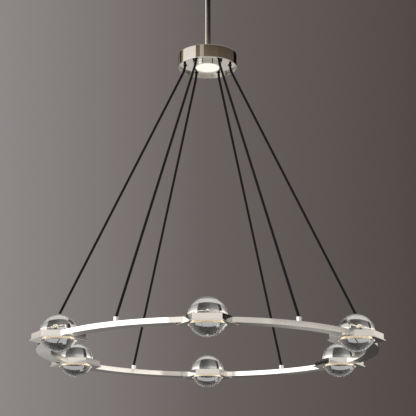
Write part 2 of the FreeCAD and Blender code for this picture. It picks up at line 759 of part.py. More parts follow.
def screw_spots():
    """In a collar's frame: a screw square through each of the four walls that meet a bar."""
    spots = []
    level = size("flange_high + bar_height / 2")
    apothem = size("collar_corner * cos(30)")
    along_wall = size("collar_corner / 2 - spigot_screw_offset")
    for wall_angle, side in ((60, 1), (120, -1), (-60, -1), (-120, 1)):
        outwards = Rotation(Vector(0, 0, 1), wall_angle)
        spot = outwards.multVec(Vector(apothem, side * along_wall, level))
        spots.append(Placement(spot, outwards.multiply(Rotation(Vector(0, 1, 0), 90))))
    return spots


def drilled(label, blank, radius, placements):
    """A piece with a through hole along each screw's own axis."""
    drill = doc.addObject("Part::Cylinder", label + "_drill")
    drill.setExpression("Radius", bound(radius))
    drill.setExpression("Height", bound("2 * (spigot_screw_length + collar_wall)"))
    set_place(drill, up="-spigot_screw_length - collar_wall")
    holes = copies(label + "_holes", drill, placements)
    piece = doc.addObject("Part::Cut", label)
    piece.Base = blank
    piece.Tool = holes
    piece.Label = label
    return piece


def around_axis(angles, level):
    return [Placement(Vector(0, 0, level), Rotation(Vector(0, 0, 1), angle)) for angle in angles]


for number in range(1, COUNT + 1):
    keep(ring_bar(number))
beside_bar = [spot.multiply(screw) for spot in around(size("ring_radius"), [STEP / 2, -STEP / 2], 0)
              for screw in screw_spots()]
drilled_pair = drilled("drilled_spigots", spigot_pair(),
                       "spigot_screw_radius + thread_clear", beside_bar)
keep(copies("bar_spigots", drilled_pair, around_axis(BAR_ANGLES, size("ball_level"))))


# ---------------------------------------------------------------- cord terminals

def socket_tilt():
    return math.degrees(math.atan(size("cord_slope")))


def cord_terminal(number):
    """A round knob with a stud below and a slanted blind socket for the cord."""
    turned_knob = turned(f"terminal_blank_{number}", [
        ("0", "-bar_wall - nut_height"), ("terminal_stud", "-bar_wall - nut_height"),
        ("terminal_stud", "0"), ("terminal_radius", "0"),
        ("terminal_radius", "terminal_height"), ("0", "terminal_height")])
    round_edges(turned_knob, "terminal_edge", is_ring("terminal_radius", "terminal_height"), "Chamfer")
    socket = doc.addObject("Part::Cylinder", f"terminal_socket_{number}")
    socket.setExpression("Radius", bound("cord_radius + cord_clear"))
    socket.setExpression("Height", bound("socket_depth + terminal_height"))
    tilt = Rotation(Vector(0, 1, 0), -socket_tilt())
    set_place(socket, "socket_depth * sin(atan(cord_slope))", "0",
              "terminal_height - socket_depth * cos(atan(cord_slope))", tilt)
    knob = doc.addObject("Part::Cut", f"cord_terminal_{number}")
    knob.Base = turned_knob
    knob.Tool = socket
    knob.Label = f"cord_terminal_{number}"
    set_on_circle(knob, "bar_middle", BAR_ANGLES[number - 1], "ball_level + bar_high")
    return knob


for number in range(1, COUNT + 1):
    keep(cord_terminal(number))
terminal_nut = hex_nut("terminal_nut", "nut_radius", "nut_height", "terminal_stud + thread_clear")
under_bar_top = size("ball_level + bar_high - bar_wall - nut_height")
keep(copies("terminal_nuts", terminal_nut, around(size("bar_middle"), BAR_ANGLES, under_bar_top)))


# ---------------------------------------------------------------- collars and what they hold

def collar(number):
    """A hexagonal collar: a wider bottom plate with a round hole, and an upright wall on it."""
    body = new_body(f"collar_blank_{number}")
    plate = sketch_on(body, "XY_Plane", "-collar_drop")
    draw_outline(plate, hexagon("flange_corner", first_angle=30))
    draw_circle(plate, "flange_hole")
    pad(plate, "flange_thick")
    wall = sketch_on(body, "XY_Plane", "flange_high")
    draw_outline(wall, hexagon("collar_corner", first_angle=30))
    draw_outline(wall, hexagon("collar_inner", first_angle=30))
    pad(wall, "collar_high - flange_high")
    piece = drilled(f"collar_{number}", body, "spigot_screw_radius + screw_clear", screw_spots())
    set_on_circle(piece, "ring_radius", BALL_ANGLES[number - 1], "ball_level")
    return piece


def crystal(number):
    ball = doc.addObject("Part::Sphere", f"crystal_{number}")
    ball.Label = f"crystal_{number}"
    ball.setExpression("Radius", bound("ball_radius"))
    set_on_circle(ball, "ring_radius", BALL_ANGLES[number - 1], "ball_level")
    return ball


def collar_cover():
    body = new_body("collar_cover")
    plate = sketch_on(body, "XY_Plane", "cover_low")
    draw_outline(plate, hexagon("collar_inner - cover_clear / cos(30)", first_angle=30))
    draw_circle(plate, "ball_radius + cover_gap")
    pad(plate, "cover_thick")
    return body


for number in range(1, COUNT + 1):
    keep(collar(number))
    keep(crystal(number))
at_balls = around(size("ring_radius"), BALL_ANGLES, size("ball_level"))
keep(copies("collar_covers", collar_cover(), at_balls))
through_walls = [ball.multiply(screw) for ball in at_balls for screw in screw_spots()]
keep(copies("spigot_screws", spigot_screw(), through_walls))
led_ring = turned("led_ring", rectangle("light_outer - light_wall", "light_outer",
                                           "flange_high", "flange_high + light_height"))
keep(copies("led_rings", led_ring, at_balls))
diffuser_ring = turned("diffuser_ring", rectangle("diffuser_inner", "diffuser_outer",
                                                  "flange_high", "cover_low"))
keep(copies("diffuser_rings", diffuser_ring, at_balls))
seat_ring = turned("seat_ring", [
    ("sqrt((ball_radius + seat_clear) ^ 2 - flange_high ^ 2)", "flange_high"),
    ("diffuser_inner - seat_clear", "flange_high"), ("diffuser_inner - seat_clear", "seat_high"),
    ("sqrt((ball_radius + seat_clear) ^ 2 - seat_high ^ 2)", "seat_high")])
keep(copies("seat_rings", seat_ring, at_balls))


# ---------------------------------------------------------------- suspension cords

def cord_route():
    """Points of one cord in its own upright plane: out of the hub, its bend, and its socket."""
    bend = Vector(size("cord_circle"), 0, size("hub_rim - bend_drop"))
    top = bend + Vector(0, 0, size("cord_rise"))
    knob = Vector(size("bar_middle"), 0, size("ball_level + knob_level"))
    along = (knob - bend).normalize()
    return [top, bend, knob + along * size("socket_depth")]


def rounded_path(points):
    """Straight runs joined by tangent arcs, each as large as its two runs allow."""
    edges = []
    start = points[0]
    for before, corner, after in zip(points, points[1:], points[2:]):
        into = (before - corner).normalize()
        out = (after - corner).normalize()
        reach = BEND_SHARE * min((before - corner).Length, (after - corner).Length)
        half_turn = (math.pi - into.getAngle(out)) / 2
        radius = reach / math.tan(half_turn)
        first = corner + into * reach
        last = corner + out * reach
        inward = (into + out).normalize()
        middle = corner + inward * (radius / math.cos(half_turn) - radius)
        edges.append(Part.LineSegment(start, first).toShape())
        edges.append(Part.Arc(first, middle, last).toShape())
        print(f"cord bend radius {radius:.1f} mm, {radius / (2 * size('cord_radius')):.1f} diameters")
        start = last
    edges.append(Part.LineSegment(start, points[-1]).toShape())
    return Part.Wire(edges)


def cord_shape():
    path = rounded_path(cord_route())
    radius = size("cord_radius")
    circle = Part.makeCircle(radius, path.Vertexes[0].Point, Vector(0, 0, 1))
    tube = path.makePipeShell([Part.Wire(circle)], True, False)
    expected = math.pi * radius ** 2 * path.Length
    print(f"cord length {path.Length:.1f} mm, volume {tube.Volume:.0f} of {expected:.0f} mm3")
    return tube


def cords():
    shape = cord_shape()
    for number, angle in enumerate(BAR_ANGLES, start=1):
        cord = doc.addObject("Part::Feature", f"cord_{number}")
        cord.Label = f"cord_{number}"
        cord.Shape = shape
        cord.Placement = Placement(Vector(), Rotation(Vector(0, 0, 1), angle))
        keep(cord)


cords()

# ---------------------------------------------------------------- check and write

doc.recompute()
faults = []
for item in doc.Objects:
    if "Invalid" in item.State or "Error" in item.State:
        faults.append(f"{item.Label}: {item.State}")
for item in kept:
    if item.Shape.isNull() or not item.Shape.isValid() or not item.Shape.Solids:
        faults.append(f"{item.Label}: bad shape")
if faults:
    raise RuntimeError("; ".join(faults))

os.makedirs("parts", exist_ok=True)
for item in kept:
    item.Shape.exportStep(f"parts/{item.Label}.step")
print(f"{len(kept)} sub-parts, ball level {size('ball_level'):.1f} mm")
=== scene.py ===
# %% [markdown]
# # Dressing an orb chandelier
#
# The solid model gives every piece its size and place. This notebook loads it as a fixed frame and gives
# the visible pieces their finish: mirror nickel, solid crystal, lit diffusers and straight black cords.
# Curved mirror pieces are modelled again here, because a mirror shows every flat facet of a coarse mesh,
# and each new piece stands where the solid piece stood.

# %% Load the solid model
import math

import bmesh
import bpy
from mathutils import Matrix, Vector


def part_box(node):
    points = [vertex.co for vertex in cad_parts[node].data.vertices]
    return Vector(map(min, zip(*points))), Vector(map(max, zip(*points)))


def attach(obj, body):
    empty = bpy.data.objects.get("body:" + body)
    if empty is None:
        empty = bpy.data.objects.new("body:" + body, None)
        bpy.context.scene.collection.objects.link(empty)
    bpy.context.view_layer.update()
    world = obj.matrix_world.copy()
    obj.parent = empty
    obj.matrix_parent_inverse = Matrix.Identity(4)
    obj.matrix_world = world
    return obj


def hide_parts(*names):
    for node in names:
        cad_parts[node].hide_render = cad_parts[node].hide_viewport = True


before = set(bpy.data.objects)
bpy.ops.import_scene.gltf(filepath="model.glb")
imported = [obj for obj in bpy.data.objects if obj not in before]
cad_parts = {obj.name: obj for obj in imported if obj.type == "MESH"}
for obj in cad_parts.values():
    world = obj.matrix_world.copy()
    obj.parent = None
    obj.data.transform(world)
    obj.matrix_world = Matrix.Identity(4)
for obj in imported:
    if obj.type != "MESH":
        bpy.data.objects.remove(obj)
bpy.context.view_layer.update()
scene = bpy.context.scene
COUNT = 6
MM = 0.001

# %% [markdown]
# ## Levels and radii
#
# A chandelier is laid out from a few circles and heights: the balls' circle, the cords' circle at the hub,
# and the levels of the hub's rim and of the balls' centres. Reading them from the frame keeps the new
# pieces on the solid ones even if those change. Only what a box can't tell, such as a wall's thickness,
# is written here as a size.

# %% Read the layout from the frame


def middle(node):
    low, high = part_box(node)
    return (low + high) / 2


def radius_of(node):
    low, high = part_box(node)
    return (high.x - low.x) / 2


def bottom(node):
    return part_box(node)[0].z


def top(node):
    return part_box(node)[1].z


ball_radius = radius_of("crystal_1")
ball_level = middle("crystal_1").z
ring_radius = middle("crystal_1").xy.length
hub_rim = bottom("hub_shell")
hub_radius = radius_of("hub_shell")
BALL_ANGLES = [30 + 60 * k for k in range(COUNT)]
BAR_ANGLES = [60 * k for k in range(COUNT)]

print(f"balls of {2 * ball_radius:.3f} m on a circle of radius {ring_radius:.3f} m, at {ball_level:.3f} m")

# %% [markdown]
# ## The camera
#
# The picture looks up at the ring, so the camera is below the balls and tilted upwards. A long lens keeps
# the far balls nearly as large as the near ones. Its place is given from the chandelier's axis and from
# the level of the balls, so that it follows the frame.

# %% Set the camera
CAMERA_BACK = 4.165
CAMERA_BELOW_BALLS = 0.699
CAMERA_TILT = 15.77
CAMERA_LENS = 110.2
FILM_WIDTH = 36
AXIS_LEFT_OF_MIDDLE = 0.0011

camera_data = bpy.data.cameras.new("Camera")
camera_data.lens = CAMERA_LENS
camera_data.sensor_width = FILM_WIDTH
camera_data.shift_x = AXIS_LEFT_OF_MIDDLE
camera = bpy.data.objects.new("Camera", camera_data)
camera.location = (0, -CAMERA_BACK, ball_level - CAMERA_BELOW_BALLS)
camera.rotation_euler = (math.radians(90 + CAMERA_TILT), 0, 0)
scene.collection.objects.link(camera)
scene.camera = camera
scene.view_settings.view_transform = "Standard"

print(f"camera {CAMERA_BACK} m back, {CAMERA_BELOW_BALLS} m below the balls, tilted {CAMERA_TILT} degrees up")

# %% [markdown]
# ## Marks of handling, for several finishes
#
# A polished surface is never evenly clean. Hands and cloths leave broad cloudy patches, and wiping leaves
# fine lines. They could be painted into each material by itself, but both only change how rough the
# surface is, so one node group works out a roughness from two noises, and each material places the group
# with its own amounts.

# %% Build the group for handled surfaces
WIPED_ACROSS = (1.0, 1.0, 9.0)
MARKS_FROM = 0.12
MARKS_TO = 0.42


def add_socket(group, name, kind, way="INPUT", value=None):
    socket = group.interface.new_socket(name=name, in_out=way, socket_type=kind)
    if value is not None:
        socket.default_value = value


def group_tree(name):
    tree = bpy.data.node_groups.new(name, "ShaderNodeTree")
    return tree, tree.nodes.new("NodeGroupInput"), tree.nodes.new("NodeGroupOutput")


def handled_surface():
    """Roughness that varies in cloudy patches and fine wipe lines."""
    tree, given, out = group_tree("Handled surface")
    add_socket(tree, "Vector", "NodeSocketVector")
    add_socket(tree, "Patch scale", "NodeSocketFloat", value=9.0)
    add_socket(tree, "Line scale", "NodeSocketFloat", value=160.0)
    add_socket(tree, "Clean", "NodeSocketFloat", value=0.05)
    add_socket(tree, "Marked", "NodeSocketFloat", value=0.12)
    add_socket(tree, "Roughness", "NodeSocketFloat", "OUTPUT")
    patches = tree.nodes.new("ShaderNodeTexNoise")
    patches.inputs["Detail"].default_value = 4.0
    tree.links.new(given.outputs["Vector"], patches.inputs["Vector"])
    tree.links.new(given.outputs["Patch scale"], patches.inputs["Scale"])
    stretch = tree.nodes.new("ShaderNodeMapping")
    stretch.inputs["Scale"].default_value = WIPED_ACROSS
    tree.links.new(given.outputs["Vector"], stretch.inputs["Vector"])
    lines = tree.nodes.new("ShaderNodeTexNoise")
    lines.inputs["Detail"].default_value = 2.0
    tree.links.new(stretch.outputs["Vector"], lines.inputs["Vector"])
    tree.links.new(given.outputs["Line scale"], lines.inputs["Scale"])
    blend = tree.nodes.new("ShaderNodeMath")
    blend.operation = "MULTIPLY"
    tree.links.new(patches.outputs["Fac"], blend.inputs[0])
    tree.links.new(lines.outputs["Fac"], blend.inputs[1])
    spread = tree.nodes.new("ShaderNodeMapRange")
    spread.inputs["From Min"].default_value = MARKS_FROM
    spread.inputs["From Max"].default_value = MARKS_TO
    tree.links.new(blend.outputs[0], spread.inputs["Value"])
    tree.links.new(given.outputs["Clean"], spread.inputs["To Min"])
    tree.links.new(given.outputs["Marked"], spread.inputs["To Max"])
    tree.links.new(spread.outputs["Result"], out.inputs["Roughness"])
    return tree


HANDLED = handled_surface()

print(f"'{HANDLED.name}' has {len(HANDLED.nodes)} nodes")

# %% [markdown]
# ## Fine relief, for several finishes
#
# Cast, plated and moulded surfaces are never quite flat: they have a small grain and a slow swell. As real
# geometry that would need millions of faces, so a second group makes a height from two noises, and a Bump
# node in each material turns the height into shading.

# %% Build the group for fine relief


def fine_relief():
    """Height of a cast, plated or moulded surface: small grain with a slow swell."""
    tree, given, out = group_tree("Fine relief")
    add_socket(tree, "Vector", "NodeSocketVector")
    add_socket(tree, "Grain scale", "NodeSocketFloat", value=900.0)
    add_socket(tree, "Swell scale", "NodeSocketFloat", value=40.0)
    add_socket(tree, "Height", "NodeSocketFloat", "OUTPUT")
    grain = tree.nodes.new("ShaderNodeTexNoise")
    grain.inputs["Detail"].default_value = 3.0
    tree.links.new(given.outputs["Vector"], grain.inputs["Vector"])
    tree.links.new(given.outputs["Grain scale"], grain.inputs["Scale"])
    swell = tree.nodes.new("ShaderNodeTexNoise")
    swell.inputs["Detail"].default_value = 1.0
    tree.links.new(given.outputs["Vector"], swell.inputs["Vector"])
    tree.links.new(given.outputs["Swell scale"], swell.inputs["Scale"])
    total = tree.nodes.new("ShaderNodeMath")
    total.operation = "ADD"
    tree.links.new(grain.outputs["Fac"], total.inputs[0])
    tree.links.new(swell.outputs["Fac"], total.inputs[1])
    tree.links.new(total.outputs[0], out.inputs["Height"])
    return tree


RELIEF = fine_relief()

print(f"'{RELIEF.name}' has {len(RELIEF.nodes)} nodes")

# %% [markdown]
# ## Starting a material
#
# Every finish starts from the Principled shader, which covers metal, plastic, cloth and glass. Constant
# values go straight onto the shader's own sockets. What varies over the surface is linked in from a group
# or a texture, and it reads Object coordinates, so that a pattern has its size in metres and stays put.

# %% Helpers for materials


class Finish:
    """A material with its Principled shader, and short ways to link the shared groups into it."""

    def __init__(self, name, colour, metallic=0.0, roughness=0.5):
        self.material = bpy.data.materials.new(name)
        self.material.use_nodes = True
        self.nodes = self.material.node_tree.nodes
        self.links = self.material.node_tree.links
        self.shader = self.nodes["Principled BSDF"]
        self.set("Base Color", (*colour, 1.0))
        self.set("Metallic", metallic)
        self.set("Roughness", roughness)
        self.place = self.nodes.new("ShaderNodeTexCoord").outputs["Object"]

    def set(self, socket, value):
        self.shader.inputs[socket].default_value = value

    def add_group(self, tree, **amounts):
        node = self.nodes.new("ShaderNodeGroup")
        node.node_tree = tree
        self.links.new(self.place, node.inputs["Vector"])
        for name, value in amounts.items():
            node.inputs[name.replace("_", " ").capitalize()].default_value = value
        return node

    def handled(self, **amounts):
        node = self.add_group(HANDLED, **amounts)
        self.links.new(node.outputs["Roughness"], self.shader.inputs["Roughness"])

    def bump(self, height, strength, distance):
        node = self.nodes.new("ShaderNodeBump")
        node.inputs["Strength"].default_value = strength
        node.inputs["Distance"].default_value = distance
        self.links.new(height, node.inputs["Height"])
        self.links.new(node.outputs["Normal"], self.shader.inputs["Normal"])

    def relief(self, strength, distance, **amounts):
        node = self.add_group(RELIEF, **amounts)
        self.bump(node.outputs["Height"], strength, distance)

    def tint(self, factor, low_colour, high_colour):
        """Vary the base colour between two colours by a factor."""
        ramp = self.nodes.new("ShaderNodeValToRGB")
        ramp.color_ramp.elements[0].color = (*low_colour, 1.0)
        ramp.color_ramp.elements[1].color = (*high_colour, 1.0)
        self.links.new(factor, ramp.inputs["Fac"])
        self.links.new(ramp.outputs["Color"], self.shader.inputs["Base Color"])

    def noise(self, scale, detail=3.0):
        node = self.nodes.new("ShaderNodeTexNoise")
        node.inputs["Scale"].default_value = scale
        node.inputs["Detail"].default_value = detail
        self.links.new(self.place, node.inputs["Vector"])
        return node.outputs["Fac"]

    def glow(self, colour, strength):
        self.set("Emission Color", (*colour, 1.0))
        self.set("Emission Strength", strength)


print("ways to shape a finish:", ", ".join(name for name in vars(Finish) if not name.startswith("_")))

# %% [markdown]
# ## Polished nickel
#
# Nickel is a warm silver: its reflections are slightly yellow beside chrome's blue. The polish is a mirror
# with a trace of haze, so the roughness is very low and the shared group adds the wiping marks. The bump
# is almost nothing, just enough to bend long reflections the way a buffed plate does. The hub's plate and
# the inside of its rim are the same nickel with less polish, because an inside is harder to buff.

# %% Make the nickel finishes
SWELL_OF_A_PLATE = 14.0
GRAIN_OF_A_PLATE = 500.0


def polished_nickel():
    finish = Finish("Polished nickel", (0.83, 0.80, 0.75), metallic=1.0)
    finish.handled(clean=0.045, marked=0.13)
    finish.relief(0.03, 0.0004, grain_scale=GRAIN_OF_A_PLATE, swell_scale=SWELL_OF_A_PLATE)
    return finish.material


def satin_nickel(clean, marked):
    finish = Finish("Satin nickel", (0.82, 0.79, 0.73), metallic=1.0)
    finish.handled(clean=clean, marked=marked)
    finish.relief(0.03, 0.0004, grain_scale=GRAIN_OF_A_PLATE, swell_scale=SWELL_OF_A_PLATE)
    return finish.material


NICKEL = polished_nickel()
PLATE_NICKEL = satin_nickel(0.05, 0.10)
INSIDE_NICKEL = satin_nickel(0.25, 0.34)

print("nickel:", [material.name for material in (NICKEL, PLATE_NICKEL, INSIDE_NICKEL)])

# %% [markdown]
# ## Zinc, brass and aluminium
#
# The bracket, the swivel, the nuts and the screws are zinc-plated steel, which is cloudy from grey to a faint
# yellow. The threaded tubes are brass, and the blocks in the bars' ends are milled aluminium. They hardly
# show, so each gets one noise for its colour or its relief and the shared group for its roughness.

# %% Make the other metals


def zinc_steel():
    finish = Finish("Zinc plated steel", (0.6, 0.62, 0.64), metallic=1.0)
    finish.tint(finish.noise(220.0), (0.50, 0.52, 0.55), (0.72, 0.72, 0.66))
    finish.handled(clean=0.25, marked=0.45)
    finish.relief(0.15, 0.0002)
    return finish.material


def brass():
    finish = Finish("Threaded brass", (0.78, 0.6, 0.3), metallic=1.0)
    finish.tint(finish.noise(90.0), (0.66, 0.48, 0.22), (0.86, 0.69, 0.38))
    finish.handled(clean=0.18, marked=0.36)
    return finish.material


def milled_aluminium():
    finish = Finish("Milled aluminium", (0.68, 0.69, 0.7), metallic=1.0)
    finish.handled(clean=0.3, marked=0.5)
    finish.relief(0.2, 0.0002, grain_scale=1400.0)
    return finish.material


ZINC = zinc_steel()
BRASS = brass()
ALUMINIUM = milled_aluminium()

print("other metals:", [material.name for material in (ZINC, BRASS, ALUMINIUM)])

# %% [markdown]
# ## Crystal
#
# The balls are solid lead-free crystal. A thin glass shell would show the wall straight through, so the
# material is set for a solid ball: with an index of 1.52 it bends light as the real one does, shows the
# room upside down and gathers the light strip into bright arcs. Handling leaves only a trace of haze.

# %% Make the crystal
CRYSTAL_INDEX = 1.52


def crystal_glass():
    finish = Finish("Clear crystal", (0.985, 0.99, 0.99), roughness=0.0)
    finish.set("Transmission Weight", 1.0)
    finish.set("IOR", CRYSTAL_INDEX)
    finish.handled(clean=0.0, marked=0.012, patch_scale=16.0)
    return finish.material


CRYSTAL = crystal_glass()

print(f"'{CRYSTAL.name}' with an index of {CRYSTAL_INDEX}")

# %% [markdown]
# ## Lit plastic and silicone
#
# The frosted rings round the balls, the downlight's lens and the soft seats glow with the light strips
# behind them. Real lamps inside would be slow and noisy, so these parts give off a little light of their
# own. The light is a warm white and weak, because a brighter one would clip to plain white.

# %% Make the lit finishes


def frosted_diffuser():
    finish = Finish("Frosted diffuser", (0.9, 0.82, 0.68), roughness=0.6)
    finish.glow((1.0, 0.83, 0.60), 1.1)
    finish.relief(0.1, 0.0002)
    return finish.material


def downlight_lens():
    finish = Finish("Downlight lens", (0.80, 0.77, 0.70), roughness=0.45)
    finish.glow((1.0, 0.95, 0.84), 0.56)
    finish.relief(0.1, 0.0002)
    return finish.material


def lit_silicone():
    finish = Finish("Translucent silicone", (0.85, 0.78, 0.66), roughness=0.5)
    finish.glow((1.0, 0.74, 0.46), 0.6)
    finish.relief(0.08, 0.0002)
    return finish.material


DIFFUSER = frosted_diffuser()
LENS = downlight_lens()
SILICONE = lit_silicone()

print("lit:", [material.name for material in (DIFFUSER, LENS, SILICONE)])

# %% [markdown]
# ## Boards, reflector, case and black mouldings
#
# These are the electrical parts inside the hub and the collars, and the black plastic of the bushings and
# the cord anchors. They are plain industrial surfaces: a coated board, a white painted cup, and mouldings
# with the fine texture of their tool.

# %% Make the finishes of the electrical parts


def led_board():
    finish = Finish("Coated board", (0.88, 0.86, 0.78), roughness=0.4)
    finish.tint(finish.noise(60.0), (0.82, 0.8, 0.7), (0.92, 0.9, 0.83))
    return finish.material


def white_reflector():
    finish = Finish("White reflector", (0.93, 0.93, 0.91), roughness=0.35)
    finish.relief(0.06, 0.0002)
    return finish.material


def driver_case():
    finish = Finish("Moulded case", (0.84, 0.84, 0.83), roughness=0.5)
    finish.relief(0.12, 0.0002)
    return finish.material


def black_plastic():
    finish = Finish("Black moulding", (0.012, 0.012, 0.012), roughness=0.42)
    finish.relief(0.1, 0.0002, grain_scale=1500.0)
    return finish.material


BOARD = led_board()
REFLECTOR = white_reflector()
DRIVER = driver_case()
PLASTIC = black_plastic()

print("electrical parts:", [material.name for material in (BOARD, REFLECTOR, DRIVER, PLASTIC)])

# %% [markdown]
# ## Black braided cord
#
# The cords carry current as well as the ring, and their jacket is a tight black textile braid. A braid is
# two sets of yarns that cross, so two waves run round the cord in opposite directions. They read the
# cord's own UV map, which follows its length and its girth, and they only shape the bump and the colour a
# little: from across a room the cord is a matt black line.

# %% Make the cord's finish
BRAID_TURNS = 10.0
BRAID_LENGTHS = 420.0


def braided_cord():
    finish = Finish("Black braided cord", (0.008, 0.008, 0.008), roughness=0.85)
    finish.set("Specular IOR Level", 0.2)
    finish.set("Sheen Weight", 0.04)
    finish.set("Sheen Roughness", 0.4)
    uv = finish.nodes.new("ShaderNodeTexCoord").outputs["UV"]
    heights = []
    for direction in (1.0, -1.0):
        slant = finish.nodes.new("ShaderNodeMapping")
        slant.inputs["Scale"].default_value = (BRAID_LENGTHS, direction * BRAID_TURNS, 1.0)
        finish.links.new(uv, slant.inputs["Vector"])
        wave = finish.nodes.new("ShaderNodeTexWave")
        wave.bands_direction = "DIAGONAL"
        wave.inputs["Scale"].default_value = 0.5
        finish.links.new(slant.outputs["Vector"], wave.inputs["Vector"])
        heights.append(wave.outputs["Fac"])
    braid = finish.nodes.new("ShaderNodeMath")
    braid.operation = "MAXIMUM"
    finish.links.new(heights[0], braid.inputs[0])
    finish.links.new(heights[1], braid.inputs[1])
    finish.tint(braid.outputs[0], (0.003, 0.003, 0.003), (0.011, 0.010, 0.010))
    finish.bump(braid.outputs[0], 0.5, 0.0004)
    return finish.material


CORD = braided_cord()

print(f"'{CORD.name}' has {len(CORD.node_tree.nodes)} nodes")

# %% [markdown]
# ## From a bmesh to a piece
#
# Each new piece is a bmesh first. Writing it into an object is the same work every time: shade it smooth
# but keep the real corners sharp, add weighted normals so that large flat mirrors stay flat beside their
# rounded edges, tie it to the body that it moves with, and hide the solid pieces it stands for. Rounding
# takes the outward corners alone, because an inner corner stays crisp on the real pieces.

# %% Helpers for writing and rounding pieces
CORNER_ANGLE = math.radians(35)


def make_piece(name, bm, material, body, slot, *nodes):
    mesh = bpy.data.meshes.new(name)
    bm.to_mesh(mesh)
    bm.free()
    mesh.shade_smooth()
    mesh.set_sharp_from_angle(angle=CORNER_ANGLE)
    mesh.materials.append(material)
    piece = bpy.data.objects.new(name, mesh)
    scene.collection.objects.link(piece)
    weighted = piece.modifiers.new("Weighted normals", "WEIGHTED_NORMAL")
    weighted.keep_sharp = True
    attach(piece, body)
    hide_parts(*nodes)
    return piece


def round_edges(bm, edges, width, segments):
    bmesh.ops.bevel(bm, geom=edges, offset=width, offset_type="OFFSET", segments=segments, profile=0.5,
                    affect="EDGES", clamp_overlap=True, material=-1)


def round_corners(bm, width, segments=3, least=CORNER_ANGLE):
    """Round every outward edge whose faces meet at more than an angle."""
    corners = [edge for edge in bm.edges
               if len(edge.link_faces) == 2 and edge.is_convex and edge.calc_face_angle() > least]
    round_edges(bm, corners, width, segments)


print(f"corners of more than {math.degrees(CORNER_ANGLE):.0f} degrees stay sharp")

# %% [markdown]
# ## Turned parts and copies
#
# Most round pieces were turned on a lathe, and Blender's spin does the same with half a section. Pieces that
# repeat round the ring are made once, and copies of their mesh are turned into place before the piece is
# written, so that the finished object itself stays unmoved and unturned.

# %% Helpers for turning and copying
CLOSE = MM / 10
SAME_POINT = MM / 1000


def turned(profile, steps=128):
    """A round solid from half its section, given as corners of (radius, level)."""
    bm = bmesh.new()
    corners = [bm.verts.new((radius, 0, level)) for radius, level in profile]
    sides = [bm.edges.new(pair) for pair in zip(corners, corners[1:] + corners[:1])
             if pair[0].co.x > 0 or pair[1].co.x > 0]
    bmesh.ops.spin(bm, geom=corners + sides, cent=(0, 0, 0), axis=(0, 0, 1), angle=2 * math.pi,
                   steps=steps, use_merge=True)
    bmesh.ops.remove_doubles(bm, verts=bm.verts, dist=SAME_POINT)
    bmesh.ops.recalc_face_normals(bm, faces=bm.faces)
    return bm


def band(inner, outer, low, high):
    """The section of a plain ring, or of a disc where the inner radius is 0."""
    return [(inner, low), (outer, low), (outer, high), (inner, high)]


def round_ring(bm, radius, level, width, segments=8):
    """Round the one circular edge that has a radius and a level."""
    edges = [edge for edge in bm.edges
             if all(abs(v.co.z - level) < CLOSE and abs(v.co.xy.length - radius) < CLOSE for v in edge.verts)]
    round_edges(bm, edges, width, segments)


def add_copies(bm, turns):
    """Fill a bmesh with copies of what it holds, one for each matrix, in place of the first."""
    start = list(bm.verts) + list(bm.edges) + list(bm.faces)
    for matrix in turns:
        made = bmesh.ops.duplicate(bm, geom=start)["geom"]
        bmesh.ops.transform(bm, matrix=matrix, verts=[v for v in made if isinstance(v, bmesh.types.BMVert)])
    bmesh.ops.delete(bm, geom=[v for v in start if isinstance(v, bmesh.types.BMVert)], context="VERTS")


def out_at(angle, radius=0.0, level=0.0):
    """The place on a circle about the axis, turned so that X points outwards."""
    return Matrix.Rotation(math.radians(angle), 4, "Z") @ Matrix.Translation((radius, 0, level))


first_ball = out_at(BALL_ANGLES[0], ring_radius, ball_level).translation
print("the first ball is at", [round(part, 3) for part in first_ball])

# %% [markdown]
# ## The cords
#
# The weight of the ring pulls each cord straight, from its bushing in the hub to its terminal on a bar.
# A smooth curve with few points is the right tool: it leaves the hub straight down, turns at once, and
# runs straight on. One more point about six diameters past the turn keeps the long run straight.

# %% Make the cords
CORD_DIAMETER = 8.5 * MM
CORD_CIRCLE = 78 * MM
BEND_BELOW_RIM = 4 * MM
TOP_ABOVE_BEND = 22.6 * MM
STRAIGHT_AFTER_BEND = 6 * CORD_DIAMETER
SOCKET_DEPTH = 7 * MM


def cord_points():
    """The route in its own upright plane, as (distance from the axis, level)."""
    knob = Vector((middle("cord_terminal_1").x, top("cord_terminal_1")))
    bend = Vector((CORD_CIRCLE, hub_rim - BEND_BELOW_RIM))
    start = bend + Vector((0, TOP_ABOVE_BEND))
    along = (knob - bend).normalized()
    return [start, bend, bend + along * STRAIGHT_AFTER_BEND, knob + along * SOCKET_DEPTH]


def make_cord(number, points):
    curve = bpy.data.curves.new(f"suspension_cord_{number}", "CURVE")
    curve.dimensions = "3D"
    curve.bevel_depth = CORD_DIAMETER / 2
    curve.bevel_resolution = 8
    curve.use_fill_caps = True
    spline = curve.splines.new("NURBS")
    spline.points.add(len(points) - 1)
    turn = Matrix.Rotation(math.radians(BAR_ANGLES[number - 1]), 3, "Z")
    for spot, (across, level) in zip(spline.points, points):
        spot.co = (*(turn @ Vector((across, 0, level))), 1)
    spline.order_u = 3
    spline.use_endpoint_u = True
    spline.resolution_u = 16
    cord = bpy.data.objects.new(f"suspension_cord_{number}", curve)
    scene.collection.objects.link(cord)
    curve.materials.append(CORD)
    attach(cord, "pendant")
    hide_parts(f"cord_{number}")


route = cord_points()
for number in range(1, COUNT + 1):
    make_cord(number, route)

print("the cords' route, as distance and level:", [[round(part, 3) for part in point] for point in route])

# %% [markdown]
# ## The crystal balls
#
# A lens needs a smooth mesh: flat facets would show as a honeycomb in every refraction. A fine sphere with
# smooth normals is enough, because only the normals decide where the light goes.

# %% Make the balls
BALL_SEGMENTS = 160
BALL_RINGS = 96


